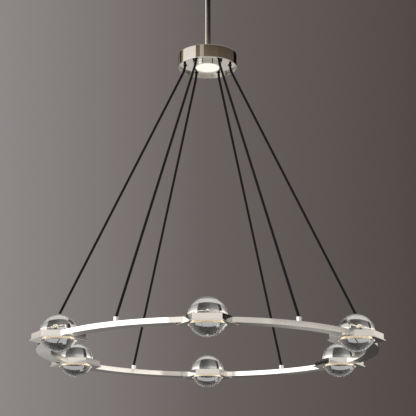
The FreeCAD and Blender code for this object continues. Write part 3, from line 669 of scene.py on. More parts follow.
def make_ball(number):
    bm = bmesh.new()
    place = out_at(BALL_ANGLES[number - 1], ring_radius, ball_level)
    bmesh.ops.create_uvsphere(bm, u_segments=BALL_SEGMENTS, v_segments=BALL_RINGS, radius=ball_radius,
                              matrix=place)
    ball = make_piece(f"crystal_ball_{number}", bm, CRYSTAL, "pendant", "crystal", f"crystal_{number}")
    ball.modifiers.clear()


for number in range(1, COUNT + 1):
    make_ball(number)

print(f"{COUNT} balls of {BALL_SEGMENTS} by {BALL_RINGS} faces")

# %% [markdown]
# ## The hexagonal collars
#
# A collar is a bottom plate with a round hole, wider than the upright wall that stands on it. Cutting the
# hole with a boolean would leave long thin faces, so the plate starts as a hexagon and a circle with the
# same number of points, bridged into a face and given its thickness. The wall is two hexagons treated
# alike.

# %% Helpers for plates and walls with six sides
SIDE_CUTS = 15
HALF_SIDE_ANGLE = math.radians(30)


def hexagon(bm, corner, cuts=SIDE_CUTS):
    """A hexagon's edges, each cut into equal lengths, with a flat side towards X."""
    made = bmesh.ops.create_circle(bm, segments=6, radius=corner)
    edges = list(dict.fromkeys(edge for vert in made["verts"] for edge in vert.link_edges))
    if cuts == 0:
        return edges
    cut = bmesh.ops.subdivide_edges(bm, edges=edges, cuts=cuts)
    return [item for item in cut["geom"] if isinstance(item, bmesh.types.BMEdge)]


def circle(bm, radius, segments):
    made = bmesh.ops.create_circle(bm, segments=segments, radius=radius)
    return list(dict.fromkeys(edge for vert in made["verts"] for edge in vert.link_edges))


def thicken(bm, faces, low, high):
    """Move flat faces to a level, and pull them up into a solid."""
    verts = list(dict.fromkeys(vert for face in faces for vert in face.verts))
    bmesh.ops.translate(bm, vec=(0, 0, low), verts=verts)
    pulled = bmesh.ops.extrude_face_region(bm, geom=faces, use_keep_orig=True)
    raised = [item for item in pulled["geom"] if isinstance(item, bmesh.types.BMVert)]
    bmesh.ops.translate(bm, vec=(0, 0, high - low), verts=raised)


def holed_hexagon(bm, corner, hole, low, high):
    edges = hexagon(bm, corner) + circle(bm, hole, 6 * (SIDE_CUTS + 1))
    faces = bmesh.ops.bridge_loops(bm, edges=edges)["faces"]
    thicken(bm, faces, low, high)


def hexagon_tube(bm, corner, wall, low, high):
    inner = corner - wall / math.cos(HALF_SIDE_ANGLE)
    edges = hexagon(bm, corner, 0) + hexagon(bm, inner, 0)
    faces = bmesh.ops.bridge_loops(bm, edges=edges)["faces"]
    thicken(bm, faces, low, high)


print(f"each side of a plate is cut into {SIDE_CUTS + 1} lengths")

# %% [markdown]
# ## The collars themselves
#
# Plate and wall are made at the axis, in the level of the real collar, and turned out to their ball. Every
# outward corner gets a small round: on polished metal that is where the bright lines come from. The plate
# ends at the solid collar's corner, so its size is read from that collar's box.

# %% Make the collars
PLATE_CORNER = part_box("collar_5")[1].x
PLATE_OUT = 5.5 * MM
PLATE_THICK = 3.7 * MM
PLATE_HOLE = 56.97 * MM
WALL_CORNER = PLATE_CORNER - PLATE_OUT
WALL_THICK = 3 * MM
EDGE_ROUND = 0.5 * MM


def make_collar(number):
    node = f"collar_{number}"
    low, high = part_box(node)
    bm = bmesh.new()
    holed_hexagon(bm, PLATE_CORNER, PLATE_HOLE, low.z, low.z + PLATE_THICK)
    hexagon_tube(bm, WALL_CORNER, WALL_THICK, low.z + PLATE_THICK, high.z)
    bmesh.ops.recalc_face_normals(bm, faces=bm.faces)
    round_corners(bm, EDGE_ROUND)
    bmesh.ops.transform(bm, matrix=out_at(BALL_ANGLES[number - 1], ring_radius), verts=bm.verts)
    make_piece(f"hex_collar_{number}", bm, NICKEL, "pendant", "polished_nickel", node)


for number in range(1, COUNT + 1):
    make_collar(number)

print(f"{COUNT} collars, {2 * PLATE_CORNER:.3f} m across the corners of the plate")

# %% [markdown]
# ## The collars' covers
#
# A thin plate closes each collar round the ball, so that the light strip can't be seen from above. It is
# the collar's bottom plate again, smaller and thinner, so the same helper makes it, and the six are one
# piece of the model, as they are one node of the solid one.

# %% Make the covers
COVER_CLEAR = 0.2 * MM
COVER_GAP = 1.5 * MM
COVER_ROUND = 0.3 * MM
COVER_CORNER = WALL_CORNER - (WALL_THICK + COVER_CLEAR) / math.cos(HALF_SIDE_ANGLE)
COVER_HOLE = ball_radius + COVER_GAP


def make_covers():
    bm = bmesh.new()
    holed_hexagon(bm, COVER_CORNER, COVER_HOLE, bottom("collar_covers"), top("collar_covers"))
    bmesh.ops.recalc_face_normals(bm, faces=bm.faces)
    round_corners(bm, COVER_ROUND, segments=2)
    add_copies(bm, [out_at(angle, ring_radius) for angle in BALL_ANGLES])
    make_piece("collar_cover_plates", bm, NICKEL, "pendant", "polished_nickel", "collar_covers")


make_covers()

print(f"covers with a hole of radius {COVER_HOLE:.4f} m")

# %% [markdown]
# ## The lit rings inside a collar
#
# A frosted ring stands round each ball, with the light strip behind it, and a soft seat carries the ball.
# They are plain rings, so each is half a section turned once round and copied to the six balls. The seat's
# inner side follows the ball, a little off it.

# %% Make the diffusers and seats
RING_GAP = 0.8 * MM
RING_WALL = 2.7 * MM
RING_ROUND = 0.3 * MM
SEAT_CLEAR = 0.3 * MM
SEAT_ROUND = 0.2 * MM
DIFFUSER_INNER = ball_radius + RING_GAP
DIFFUSER_OUTER = DIFFUSER_INNER + RING_WALL
SEAT_OUTER = DIFFUSER_INNER - SEAT_CLEAR


def ring_set(name, profile, material, slot, node, rounding):
    bm = turned(profile, steps=96)
    round_corners(bm, rounding, segments=2)
    add_copies(bm, [out_at(angle, ring_radius) for angle in BALL_ANGLES])
    make_piece(name, bm, material, "pendant", slot, node)


def seat_profile():
    low, high = bottom("seat_rings"), top("seat_rings")
    reach = ball_radius + SEAT_CLEAR
    levels = (high, (low + high) / 2, low)
    inner = [(math.sqrt(reach ** 2 - (ball_level - level) ** 2), level) for level in levels]
    return [(SEAT_OUTER, low), (SEAT_OUTER, high)] + inner


frosted_profile = band(DIFFUSER_INNER, DIFFUSER_OUTER, bottom("diffuser_rings"), top("diffuser_rings"))
ring_set("frosted_rings", frosted_profile, DIFFUSER, "frosted_diffuser", "diffuser_rings", RING_ROUND)
ring_set("soft_seats", seat_profile(), SILICONE, "clear_silicone", "seat_rings", SEAT_ROUND)

print(f"frosted rings of radius {DIFFUSER_INNER:.4f} to {DIFFUSER_OUTER:.4f} m")

# %% [markdown]
# ## The curved flat bars
#
# Each bar is a flat hollow section bent to a sixth of the ring. Bending a straight one here would stretch
# its faces unevenly, so a rectangle is turned through sixty degrees about the chandelier's axis instead. An
# edge runs along its middle, because the two halves are cut differently at the ends.

# %% Helper for a bar before its ends are cut
BAR_WIDTH = 44 * MM
BAR_STEPS = 48
BAR_SPAN = math.radians(60)
bar_middle = math.hypot(ring_radius, WALL_CORNER)


def bar_blank():
    """The full sixty degrees of bar, in two halves that share the middle line."""
    bm = bmesh.new()
    low, high = bottom("ring_bar_1"), top("ring_bar_1")
    radii = (bar_middle - BAR_WIDTH / 2, bar_middle, bar_middle + BAR_WIDTH / 2)
    start = Matrix.Rotation(-BAR_SPAN / 2, 3, "Z")
    rows = [[bm.verts.new(start @ Vector((radius, 0, level))) for radius in radii] for level in (low, high)]
    outline = rows[0] + rows[1][::-1]
    edges = [bm.edges.new(pair) for pair in zip(outline, outline[1:] + outline[:1])]
    bmesh.ops.spin(bm, geom=outline + edges, cent=(0, 0, 0), axis=(0, 0, 1), angle=BAR_SPAN, steps=BAR_STEPS)
    return bm


print(f"the bars' middle line has a radius of {bar_middle:.4f} m")

# %% [markdown]
# ## The notches in the bars' ends
#
# The ends are notched to fit the collars' corners: one wall of the hexagon cuts the outer half of the bar,
# and the next wall the inner half. A boolean with the collar would leave the small rounds of its edges on
# the bar, so each half is cut by a plane, and a face over each cut gives exactly that notch. The inner
# corner of the notch isn't rounded.

# %% Make the bars
wall_distance = WALL_CORNER * math.cos(HALF_SIDE_ANGLE)


def notch(bm, side, half):
    """Cut the inner (-1) or outer (1) half of one end along a collar's wall."""
    ball = Vector((math.cos(HALF_SIDE_ANGLE), side * math.sin(HALF_SIDE_ANGLE), 0)) * ring_radius
    normal = Matrix.Rotation(side * math.radians(30 * half - 60), 3, "Z") @ Vector((1, 0, 0))
    wall = ball + normal * wall_distance
    faces = [face for face in bm.faces
             if (face.calc_center_median().xy.length - bar_middle) * half > 0
             and face.calc_center_median().y * side > 0]
    geom = list(dict.fromkeys(item for face in faces for item in (face, *face.edges, *face.verts)))
    bmesh.ops.bisect_plane(bm, geom=geom, dist=SAME_POINT, plane_co=wall, plane_no=normal, clear_inner=True)


def close_notch(bm, side):
    """Put a face over each of the two cuts, with an upright edge where they meet."""
    open_edges = [edge for edge in bm.edges if len(edge.link_faces) == 1 and edge.verts[0].co.y * side > 0]
    corner = {vert for edge in open_edges for vert in edge.verts
              if abs(vert.co.xy.length - bar_middle) < CLOSE}
    upright = bm.edges.new(sorted(corner, key=lambda vert: (round(abs(vert.co.y), 5), vert.co.z))[:2])
    for half in (-1, 1):
        loop = [edge for edge in open_edges
                if (sum(vert.co.xy.length for vert in edge.verts) / 2 - bar_middle) * half > 0]
        bmesh.ops.contextual_create(bm, geom=loop + [upright])


def face_outwards(bm):
    """Make all faces agree, and turn them over together if they look inwards."""
    bmesh.ops.recalc_face_normals(bm, faces=bm.faces)
    if bm.calc_volume(signed=True) < 0:
        bmesh.ops.reverse_faces(bm, faces=bm.faces)


def make_bar(number):
    bm = bar_blank()
    for side in (-1, 1):
        for half in (-1, 1):
            notch(bm, side, half)
        close_notch(bm, side)
    face_outwards(bm)
    round_corners(bm, EDGE_ROUND)
    bmesh.ops.transform(bm, matrix=out_at(BAR_ANGLES[number - 1]), verts=bm.verts)
    open_left = sum(1 for edge in bm.edges if len(edge.link_faces) != 2)
    print(f"bar {number}: {len(bm.faces)} faces, {open_left} open edges")
    make_piece(f"curved_bar_{number}", bm, NICKEL, "pendant", "polished_nickel", f"ring_bar_{number}")


for number in range(1, COUNT + 1):
    make_bar(number)

# %% [markdown]
# ## The cord terminals
#
# Each terminal is a small knob, turned on a lathe, with a narrower foot that keeps its edge off the bar. It
# stands on the bar's middle line, where its stud and nut hold it from inside the bar, and the cord goes into
# its top. The stud is out of sight, so the visible knob leaves it out.

# %% Make the terminals
KNOB_RADIUS = 8.5 * MM
KNOB_FOOT = 0.6 * MM
KNOB_ROUND = 0.25 * MM


def make_terminal(number):
    node = f"cord_terminal_{number}"
    low, high = top(f"ring_bar_{number}"), top(node)
    foot_radius = KNOB_RADIUS - KNOB_FOOT
    foot_top = low + KNOB_FOOT
    bm = turned([(0, low), (foot_radius, low), (foot_radius, foot_top), (KNOB_RADIUS, foot_top),
                 (KNOB_RADIUS, high), (0, high)], steps=64)
    round_corners(bm, KNOB_ROUND)
    bmesh.ops.transform(bm, matrix=out_at(BAR_ANGLES[number - 1], bar_middle), verts=bm.verts)
    make_piece(f"terminal_knob_{number}", bm, NICKEL, "pendant", "polished_nickel", node)


for number in range(1, COUNT + 1):
    make_terminal(number)

print(f"knobs {1000 * (top('cord_terminal_1') - top('ring_bar_1')):.1f} mm high")

# %% [markdown]
# ## The hub and the stem
#
# The hub is a spun drum with a soft top edge and a thin rim, and a tube carries it. The solid drum is
# faceted, so both are turned again. The soft edges are rounded before the rest, because they are larger than
# the small round of every other corner. The inside of the drum takes the duller nickel. The mirror plate in
# it stays the solid model's own, because a flat face needs no more points.

# %% Make the hub and the stem
HUB_WALL = 2.5 * MM
HUB_TOP_ROUND = 3 * MM
HUB_LIP_ROUND = 1.4 * MM
SPUN_ROUND = 0.4 * MM
NIPPLE_HOLE = 5.05 * MM
STEM_RADIUS = radius_of("stem")
FACES_DOWN = -0.9


def make_hub():
    low, high = hub_rim, top("hub_shell")
    inner, under_top = hub_radius - HUB_WALL, high - HUB_WALL
    bm = turned([(NIPPLE_HOLE, under_top), (inner, under_top), (inner, low), (hub_radius, low),
                 (hub_radius, high), (NIPPLE_HOLE, high)], steps=192)
    round_ring(bm, hub_radius, high, HUB_TOP_ROUND)
    round_ring(bm, hub_radius, low, HUB_LIP_ROUND, segments=5)
    round_corners(bm, SPUN_ROUND)
    drum = make_piece("hub_drum", bm, NICKEL, "pendant", "polished_nickel", "hub_shell")
    drum.data.materials.append(INSIDE_NICKEL)
    for face in drum.data.polygons:
        inward = face.normal.xy.dot(face.center.xy) < 0
        face.material_index = int(inward or face.normal.z < FACES_DOWN)


def make_stem():
    bm = turned(band(NIPPLE_HOLE, STEM_RADIUS, bottom("stem"), top("stem")), steps=64)
    round_corners(bm, SPUN_ROUND)
    make_piece("stem_tube", bm, NICKEL, "pendant", "polished_nickel", "stem")


make_hub()
make_stem()

print(f"hub {2 * hub_radius:.3f} m across, stem {1000 * 2 * STEM_RADIUS:.1f} mm")

# %% [markdown]
# ## The downlight and the bushings
#
# A trim ring with a lip holds the downlight's lens in the middle of the plate, and a black bushing with a
# flange guards each cord where it leaves the plate. All are turned from half a section. The six bushings
# are one piece, as they are one node of the solid model.

# %% Make the downlight and the bushings
TRIM_WALL = 2.4 * MM
TRIM_LIP = 2.6 * MM
TRIM_THICK = 1 * MM
BUSHING_RADIUS = 6.5 * MM
BUSHING_FLANGE = 7.5 * MM
FLANGE_THICK = 1 * MM
BUSHING_CLEAR = 0.15 * MM
SMALL_ROUND = 0.3 * MM


def make_trim():
    low, high = bottom("downlight_trim"), top("downlight_trim")
    outer = radius_of("downlight_trim")
    inner = outer - TRIM_WALL
    lip = radius_of("downlight_lens") - TRIM_LIP
    lip_top = low + TRIM_THICK
    bm = turned([(lip, low), (outer, low), (outer, high), (inner, high), (inner, lip_top), (lip, lip_top)])
    round_corners(bm, SMALL_ROUND)
    make_piece("trim_ring", bm, NICKEL, "pendant", "polished_nickel", "downlight_trim")


def make_lens():
    bm = turned(band(0, radius_of("downlight_lens"), bottom("downlight_lens"), top("downlight_lens")))
    round_corners(bm, SMALL_ROUND)
    make_piece("downlight_disc", bm, LENS, "pendant", "frosted_diffuser", "downlight_lens")


def make_bushings():
    low, high = bottom("cord_bushings"), top("cord_bushings")
    bore = CORD_DIAMETER / 2 + BUSHING_CLEAR
    flange = low + FLANGE_THICK
    bm = turned([(bore, low), (BUSHING_FLANGE, low), (BUSHING_FLANGE, flange), (BUSHING_RADIUS, flange),
                 (BUSHING_RADIUS, high), (bore, high)], steps=48)
    round_corners(bm, SMALL_ROUND)
    add_copies(bm, [out_at(angle, CORD_CIRCLE) for angle in BAR_ANGLES])
    make_piece("bushings", bm, PLASTIC, "pendant", "black_plastic", "cord_bushings")


make_trim()
make_lens()
make_bushings()

print(f"lens {2 * radius_of('downlight_lens'):.3f} m across")

# %% [markdown]
# ## The canopy
#
# The canopy is a spun cup that hides the ceiling's box. Its hole is as wide as a ball round the swivel would
# cut out of its floor, a little larger than the half ball that moves in it. The two long edges are rounded
# before the rest, inside and outside, so that the wall keeps its thickness round the bend.

# %% Make the canopy
CANOPY_WALL = 1.5 * MM
CANOPY_ROUND = 6 * MM
SWIVEL_DEPTH = 28 * MM
HOLE_BALL = 24 * MM


def make_canopy():
    low, high = bottom("canopy"), top("canopy")
    outer = radius_of("canopy")
    inner, floor = outer - CANOPY_WALL, low + CANOPY_WALL
    hole = math.sqrt(HOLE_BALL ** 2 - (high - low - CANOPY_WALL - SWIVEL_DEPTH) ** 2)
    bm = turned([(hole, low), (outer, low), (outer, high), (inner, high), (inner, floor), (hole, floor)],
                steps=160)
    round_ring(bm, outer, low, CANOPY_ROUND)
    round_ring(bm, inner, floor, CANOPY_ROUND - CANOPY_WALL)
    round_corners(bm, SMALL_ROUND, segments=2)
    make_piece("canopy_cup", bm, NICKEL, "ceiling_mount", "polished_nickel", "canopy")


make_canopy()

print(f"canopy {2 * radius_of('canopy'):.3f} m across")

# %% [markdown]
# ## The half ball and the cap nuts
#
# A half ball on the stem fills the canopy's hole, so that the hole stays covered when the chandelier hangs
# straight under a sloping ceiling. Its section is two arcs about the swivel's centre. The two cap nuts that
# hold the canopy are short bars with a strongly rounded crown.

# %% Make the half ball and the cap nuts
HALF_BALL_WALL = 2.2 * MM
HALF_BALL_DEPTH = 17 * MM
NUT_RADIUS = 6 * MM
NUT_CROWN = 4 * MM
NUT_OUT = 58 * MM


def arc(radius, centre, start, end, steps=24):
    """Points on an arc below a centre on the axis, by the angle from straight down."""
    angles = [start + (end - start) * step / steps for step in range(steps + 1)]
    return [(radius * math.sin(angle), centre - radius * math.cos(angle)) for angle in angles]


def make_half_ball():
    centre = top("swivel_ball_cover")
    outer = radius_of("swivel_ball_cover")
    inner = outer - HALF_BALL_WALL
    outside = arc(outer, centre, math.asin(STEM_RADIUS / outer), math.pi / 2)
    inside = arc(inner, centre, math.pi / 2, math.acos(HALF_BALL_DEPTH / inner))
    hole = [(NIPPLE_HOLE, centre - HALF_BALL_DEPTH), (NIPPLE_HOLE, outside[0][1])]
    bm = turned(outside + inside + hole, steps=96)
    make_piece("swivel_half_ball", bm, NICKEL, "pendant", "polished_nickel", "swivel_ball_cover")


def make_cap_nuts():
    low, high = bottom("canopy_cap_nuts"), top("canopy_cap_nuts")
    bm = turned(band(0, NUT_RADIUS, low, high), steps=48)
    round_ring(bm, NUT_RADIUS, low, NUT_CROWN)
    add_copies(bm, [Matrix.Translation((side * NUT_OUT, 0, 0)) for side in (-1, 1)])
    make_piece("canopy_nuts", bm, NICKEL, "ceiling_mount", "polished_nickel", "canopy_cap_nuts")


make_half_ball()
make_cap_nuts()

print(f"half ball {1000 * 2 * radius_of('swivel_ball_cover'):.1f} mm across")

# %% [markdown]
# ## Finishes for the solid model's own pieces
#
# What stays as the solid model made it only needs a material. The names of the pieces say what each is
# made of, so one table links a material to the pieces that take it.

# %% Give the other pieces their finish
OWN_FINISHES = {
    "ceiling_bracket": ZINC,
    "bracket_nuts": ZINC,
    "swivel_top_yoke": ZINC,
    "swivel_bottom_yoke": ZINC,
    "swivel_cross": ZINC,
    "canopy_studs": ZINC,
    "hub_hanger": ZINC,
    "plate_screws": ZINC,
    "spigot_screws": ZINC,
    "terminal_nuts": ZINC,
    "mount_nipple": BRASS,
    "stem_nipples": BRASS,
    "bar_spigots": ALUMINIUM,
    "hub_base_plate": PLATE_NICKEL,
    "cord_anchors": PLASTIC,
    "led_rings": BOARD,
    "downlight_board": BOARD,
    "downlight_reflector": REFLECTOR,
    "led_driver": DRIVER,
}

for node, material in OWN_FINISHES.items():
    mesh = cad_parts[node].data
    mesh.materials.clear()
    mesh.materials.append(material)

print(f"{len(OWN_FINISHES)} pieces keep their solid shape")

# %% [markdown]
# ## The studio's walls
#
# Mirrors and crystal look like what surrounds them, so the studio is part of the finish. Real walls would
# need a room of lit panels, so the world's background does the same from tables. The camera sees a warm grey
# wall, lighter on the left. Mirrors see a brightness by direction, with its own table for each height of
# view, and crystal sees the low one at every height. A factor by height darkens the room up and down.

# %% The walls as tables
WARM = (1.0, 0.965, 0.925)
FILL = 0.8
WALL_BY_SIDE = {
    -0.60: (0.42, 0.40, 0.39),
    -0.16: (0.27, 0.25, 0.245),
    0.0: (0.145, 0.123, 0.117),
    0.16: (0.083, 0.069, 0.064),
    0.60: (0.055, 0.046, 0.043),
}
# Brightness of the room by direction: 0 is straight behind, positive to the right, 180 is the camera's side.
# Faces that look down see the lowest table, the far collars the low one, the near collars the high one, and
# the hub the highest.
UNDER_ROOM = {
    -180: 0.5, -40: 0.5, -12: 0.52, -6.9: 0.50, -6.3: 0.21, 2.7: 0.115, 3.0: 0.38, 5.8: 0.36, 6.5: 0.06,
    14: 0.05, 40: 0.5, 180: 0.5,
}
LOW_ROOM = {
    -180: 0.82, -172: 0.9, -168: 1.1, -76: 0.95, -74: 0.008, -60: 0.008, -58: 0.5, -37: 0.8, -35: 0.015,
    -27: 0.015, -25: 0.30, -9: 0.25, 0: 0.125, 9: 0.072, 22: 0.06, 24: 0.7, 54: 0.85, 57: 0.5, 78: 0.5,
    82: 1.25, 142: 1.25, 146: 0.6, 180: 0.82,
}
HIGH_ROOM = {
    -180: 0.86, -173: 0.88, -165: 1.1, -72: 0.95, -66: 0.45, -58: 0.45, -52: 0.8, -37: 0.8, -35: 0.015,
    -27: 0.015, -25: 0.30, -9: 0.25, 0: 0.125, 9: 0.072, 22: 0.06, 24: 0.70, 54: 0.85, 56: 0.006, 71: 0.006,
    73: 0.42, 137: 0.5, 140: 0.66, 172: 0.68, 180: 0.86,
}
HUB_ROOM = {
    -180: 0.75, -165: 0.75, -163: 0.3, -160: 0.85, -133: 0.95, -72: 0.95, -64: 1.3, -56: 1.3, -52: 0.03,
    -41: 0.03, -38: 0.9, -22: 0.8, -20: 0.2, 20: 0.06, 24: 0.01, 52: 0.01, 56: 0.40, 137: 0.5, 140: 0.62,
    172: 0.66, 180: 0.75,
}
# Heights between which one table gives way to the next: -1 is straight down and 1 is straight up.
UNDER_ENDS = (-0.148, -0.158)
HIGH_BEGINS = (0.155, 0.175)
HUB_BEGINS = (0.25, 0.30)
CEILING_BEGINS = (0.50, 0.62)
CEILING = (0.36, 0.352, 0.344, 1.0)


def grey(level):
    return (level, level, level)


SHADE_BY_HEIGHT = {
    -1.0: grey(0.02), -0.74: grey(0.05), -0.66: grey(0.3), -0.30: grey(0.5), -0.14: grey(0.85),
    0.13: grey(1.0), 0.25: grey(1.0), 0.36: (0.30, 0.24, 0.185), 0.405: grey(0.02), 1.0: grey(0.02),
}
MIRROR_BY_HEIGHT = {**SHADE_BY_HEIGHT, 0.0: grey(0.72), 0.06: grey(0.75), 0.392: (0.19, 0.15, 0.115)}
CRYSTAL_BY_HEIGHT = {**SHADE_BY_HEIGHT, -0.01: grey(2.4), 0.06: grey(1.6)}

print("stops round the room:", [len(table) for table in (UNDER_ROOM, LOW_ROOM, HIGH_ROOM, HUB_ROOM)])

# %% [markdown]
# ## From tables to nodes
#
# A colour ramp holds each table. It runs from 0 to 1, so a Map Range node first brings an angle or a height
# to that range. The same few nodes come back for every band and later for the floor, so each has a short
# helper that links values and sets numbers alike.

# %% Helpers for the world's nodes


def share(nodes, links, value, low, high):
    """How far a value has come between two limits, from 0 to 1."""
    spread = nodes.new("ShaderNodeMapRange")
    spread.inputs["From Min"].default_value = low
    spread.inputs["From Max"].default_value = high
    links.new(value, spread.inputs["Value"])
    return spread.outputs["Result"]


def ramp_of(nodes, links, value, stops, low, high):
    """A colour ramp over a value, from a table of stops."""
    ramp = nodes.new("ShaderNodeValToRGB")
    elements = ramp.color_ramp.elements
    while len(elements) < len(stops):
        elements.new(0.5)
    for element, (at, colour) in zip(elements, sorted(stops.items())):
        element.position = (at - low) / (high - low)
        element.color = (*colour, 1.0)
    links.new(share(nodes, links, value, low, high), ramp.inputs["Fac"])
    return ramp.outputs["Color"]


def warmed(levels):
    return {angle: tuple(level * part for part in WARM) for angle, level in levels.items()}


def math_node(nodes, links, operation, first, second):
    node = nodes.new("ShaderNodeMath")
    node.operation = operation
    for socket, value in zip(node.inputs, (first, second)):
        if isinstance(value, (int, float)):
            socket.default_value = value
        else:
            links.new(value, socket)
    return node.outputs[0]


def colour_mix(nodes, links, factor, first, second, blend="MIX"):
    node = nodes.new("ShaderNodeMix")
    node.data_type = "RGBA"
    node.blend_type = blend
    for name, value in (("Factor", factor), ("A", first), ("B", second)):
        socket = next(s for s in node.inputs if s.name == name and s.enabled)
        if isinstance(value, (int, float, tuple)):
            socket.default_value = value
        else:
            links.new(value, socket)
    return next(s for s in node.outputs if s.enabled)


print("the room's warm white:", WARM)

# %% [markdown]
# ## The world
#
# The world puts the tables together. Light Path says what kind of ray asks. The camera gets the plain wall.
# Mirrors get the room with all its heights and its ceiling, and crystal gets the low table with its own
# shade by height. Matt surfaces are lit by an even, brighter grey instead, so that a colour looks about as it
# is written.

# %% Make the world


def make_surroundings():
    world = bpy.data.worlds.new("Studio")
    world.use_nodes = True
    nodes = world.node_tree.nodes
    links = world.node_tree.links
    direction = nodes.new("ShaderNodeSeparateXYZ")
    links.new(nodes.new("ShaderNodeTexCoord").outputs["Generated"], direction.inputs["Vector"])
    across, away, up = direction.outputs
    wall = ramp_of(nodes, links, across, WALL_BY_SIDE, min(WALL_BY_SIDE), max(WALL_BY_SIDE))
    turned_to = math_node(nodes, links, "ARCTAN2", across, away)
    degrees = math_node(nodes, links, "MULTIPLY", turned_to, math.degrees(1))
    under, low, high, highest = [ramp_of(nodes, links, degrees, warmed(table), -180, 180)
                                 for table in (UNDER_ROOM, LOW_ROOM, HIGH_ROOM, HUB_ROOM)]
    ray = nodes.new("ShaderNodeLightPath").outputs
    mirror_only = math_node(nodes, links, "SUBTRACT", 1.0, ray["Is Transmission Ray"])
    upper = math_node(nodes, links, "MULTIPLY", share(nodes, links, up, *HIGH_BEGINS), mirror_only)
    high = colour_mix(nodes, links, share(nodes, links, up, *HUB_BEGINS), high, highest)
    room = colour_mix(nodes, links, upper, low, high)
    shades = [ramp_of(nodes, links, up, table, -1, 1) for table in (CRYSTAL_BY_HEIGHT, MIRROR_BY_HEIGHT)]
    shade = colour_mix(nodes, links, mirror_only, *shades)
    room = colour_mix(nodes, links, 1.0, room, shade, "MULTIPLY")
    below = math_node(nodes, links, "MULTIPLY", share(nodes, links, up, *UNDER_ENDS), mirror_only)
    room = colour_mix(nodes, links, below, room, under)
    above = math_node(nodes, links, "MULTIPLY", share(nodes, links, up, *CEILING_BEGINS), mirror_only)
    room = colour_mix(nodes, links, above, room, CEILING)
    mirrored = math_node(nodes, links, "MAXIMUM", ray["Is Glossy Ray"], ray["Is Transmission Ray"])
    fill = tuple(FILL * part for part in WARM) + (1.0,)
    seen = colour_mix(nodes, links, mirrored, fill, room)
    seen = colour_mix(nodes, links, ray["Is Camera Ray"], seen, wall)
    links.new(seen, nodes["Background"].inputs["Color"])
    scene.world = world


make_surroundings()

print(f"'{scene.world.name}' has {len(scene.world.node_tree.nodes)} nodes")

# %% [markdown]
# ## The floor
#
# A wide pale disc, far enough below to stay out of the picture. Matt undersides get light from it and it
# takes the chandelier's shadow. Mirrors and crystal see only a ring of it. Further off they see the
# walls, so that the collars' lower plates don't turn white, and straight below they see the dark, which
# draws a thin dark line round the top of each ball. The disc fades out towards its edge, and from below
# it isn't seen at all, so that the chandelier can be looked at from there.

# %% Make the floor
FLOOR_BELOW_BALLS = 1.71
FLOOR_LEVEL = ball_level - FLOOR_BELOW_BALLS
FLOOR_RADIUS = 7.5
MIRRORED_FROM = 1.25
MIRRORED_TO = 3.5
FADE_FROM = 4.5


def from_origin(radius):
    """The distance from the frame's origin to a circle on the floor."""
    return math.hypot(radius, FLOOR_LEVEL)


def floor_material():
    finish = Finish("Pale floor", (0.71, 0.70, 0.685), roughness=0.8)
    nodes, links = finish.nodes, finish.links
    length = nodes.new("ShaderNodeVectorMath")
    length.operation = "LENGTH"
    links.new(finish.place, length.inputs[0])
    distance = length.outputs["Value"]
    near = math_node(nodes, links, "LESS_THAN", distance, from_origin(MIRRORED_FROM))
    far = math_node(nodes, links, "GREATER_THAN", distance, from_origin(MIRRORED_TO))
    outside = math_node(nodes, links, "ADD", near, far)
    fade = share(nodes, links, distance, from_origin(FADE_FROM), from_origin(FLOOR_RADIUS))
    below = nodes.new("ShaderNodeNewGeometry").outputs["Backfacing"]
    gone = math_node(nodes, links, "MAXIMUM", fade, below)
    ray = nodes.new("ShaderNodeLightPath").outputs
    mirrored = math_node(nodes, links, "MAXIMUM", ray["Is Glossy Ray"], ray["Is Transmission Ray"])
    hidden = math_node(nodes, links, "MULTIPLY", outside, mirrored)
    mix = nodes.new("ShaderNodeMixShader")
    links.new(math_node(nodes, links, "MAXIMUM", hidden, gone), mix.inputs["Fac"])
    links.new(finish.shader.outputs["BSDF"], mix.inputs[1])
    links.new(nodes.new("ShaderNodeBsdfTransparent").outputs["BSDF"], mix.inputs[2])
    links.new(mix.outputs["Shader"], nodes["Material Output"].inputs["Surface"])
    return finish.material


def make_floor():
    bm = bmesh.new()
    bmesh.ops.create_circle(bm, cap_ends=True, segments=96, radius=FLOOR_RADIUS,
                            matrix=Matrix.Translation((0, 0, FLOOR_LEVEL)))
    mesh = bpy.data.meshes.new("floor")
    bm.to_mesh(mesh)
    bm.free()
    mesh.materials.append(floor_material())
    floor = bpy.data.objects.new("floor", mesh)
    scene.collection.objects.link(floor)


make_floor()

print(f"floor at {FLOOR_LEVEL:.3f} m")

# %% [markdown]
# ## Soft boxes
#
# A photographer lights polished metal with large soft boxes, because a mirror shows the whole box as one
# even patch. A bright low one on the left whitens the bars, a dimmer high one beside it lights the hub and
# the stem, and a small one hangs high behind the camera's left side. Two more stand behind the chandelier.
# They only light the crystal and the matt surfaces, and mirrors don't see them. None is seen by the camera.

# %% Place the soft boxes
PLAIN_WHITE = (1.0, 1.0, 1.0)


def around(angle, distance, level):
    """A place in the studio by its direction from the chandelier's axis."""
    return Vector((distance * math.cos(math.radians(angle)), distance * math.sin(math.radians(angle)), level))


def turned_to_axis(place):
    """The turn that points a lamp or a card at the axis, level with itself."""
    return Vector((-place.x, -place.y, 0)).to_track_quat("-Z", "Y")


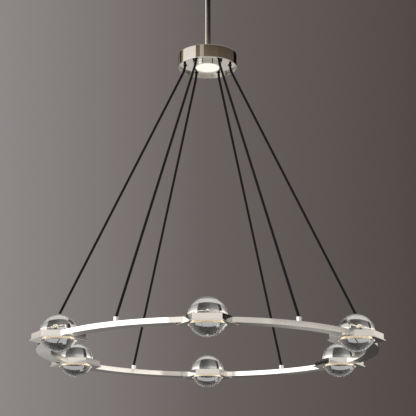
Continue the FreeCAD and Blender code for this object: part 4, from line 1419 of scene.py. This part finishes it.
def make_softbox(name, place, width, height, radiance, colour=PLAIN_WHITE, in_mirrors=True):
    """A soft box whose face has the given brightness, upright, turned to the axis."""
    data = bpy.data.lights.new(name, "AREA")
    data.shape = "RECTANGLE"
    data.size = width
    data.size_y = height
    data.energy = radiance * math.pi * width * height
    data.color = colour
    lamp = bpy.data.objects.new(name, data)
    lamp.location = place
    lamp.rotation_euler = turned_to_axis(place).to_euler()
    lamp.visible_camera = False
    lamp.visible_glossy = in_mirrors
    scene.collection.objects.link(lamp)


make_softbox("left_low_box", around(203, 3.4, -1.15), 6.4, 1.3, 1.12)
make_softbox("left_high_box", around(191, 3.2, 0.6), 4.0, 2.2, 0.70, (1.0, 0.98, 0.95))
make_softbox("front_high_box", around(248, 3.6, 1.05), 1.0, 0.9, 0.3, (1.0, 0.95, 0.88))
make_softbox("rear_high_box", around(90, 5.0, 1.3), 6.4, 1.3, 0.36, (1.0, 0.99, 0.99), in_mirrors=False)
make_softbox("left_rear_box", around(121, 4.0, 1.25), 0.8, 0.6, 0.4, in_mirrors=False)

print(f"{len(bpy.data.lights)} soft boxes")

# %% [markdown]
# ## A card for the hub's plate
#
# The plate inside the hub is a mirror that faces down, and it would show the dark wall. A white card
# behind, just where the plate looks, lights it. Only reflections see the card, so it is no part of the
# picture and casts no shadow.

# %% Place the card
CARD_GLOW = 0.56


def make_card(name, place, width, height, material):
    turn = turned_to_axis(place).to_matrix().to_4x4()
    size = Matrix.Diagonal((width / 2, height / 2, 1, 1))
    matrix = Matrix.Translation(place) @ turn @ size
    bm = bmesh.new()
    bmesh.ops.create_grid(bm, x_segments=1, y_segments=1, size=1, matrix=matrix)
    mesh = bpy.data.meshes.new(name)
    bm.to_mesh(mesh)
    bm.free()
    mesh.materials.append(material)
    card = bpy.data.objects.new(name, mesh)
    scene.collection.objects.link(card)
    card.visible_camera = False
    card.visible_diffuse = False
    card.visible_transmission = False
    card.visible_shadow = False
    return card


def glowing_card():
    finish = Finish("White card", (0.0, 0.0, 0.0), roughness=0.9)
    finish.glow(WARM, CARD_GLOW)
    return finish.material


card = make_card("plate_card", around(90, 2.08, -1.22), 1.5, 0.52, glowing_card())

print("the card is", [round(side, 2) for side in card.dimensions], "m")

# %% [markdown]
# ## Finish
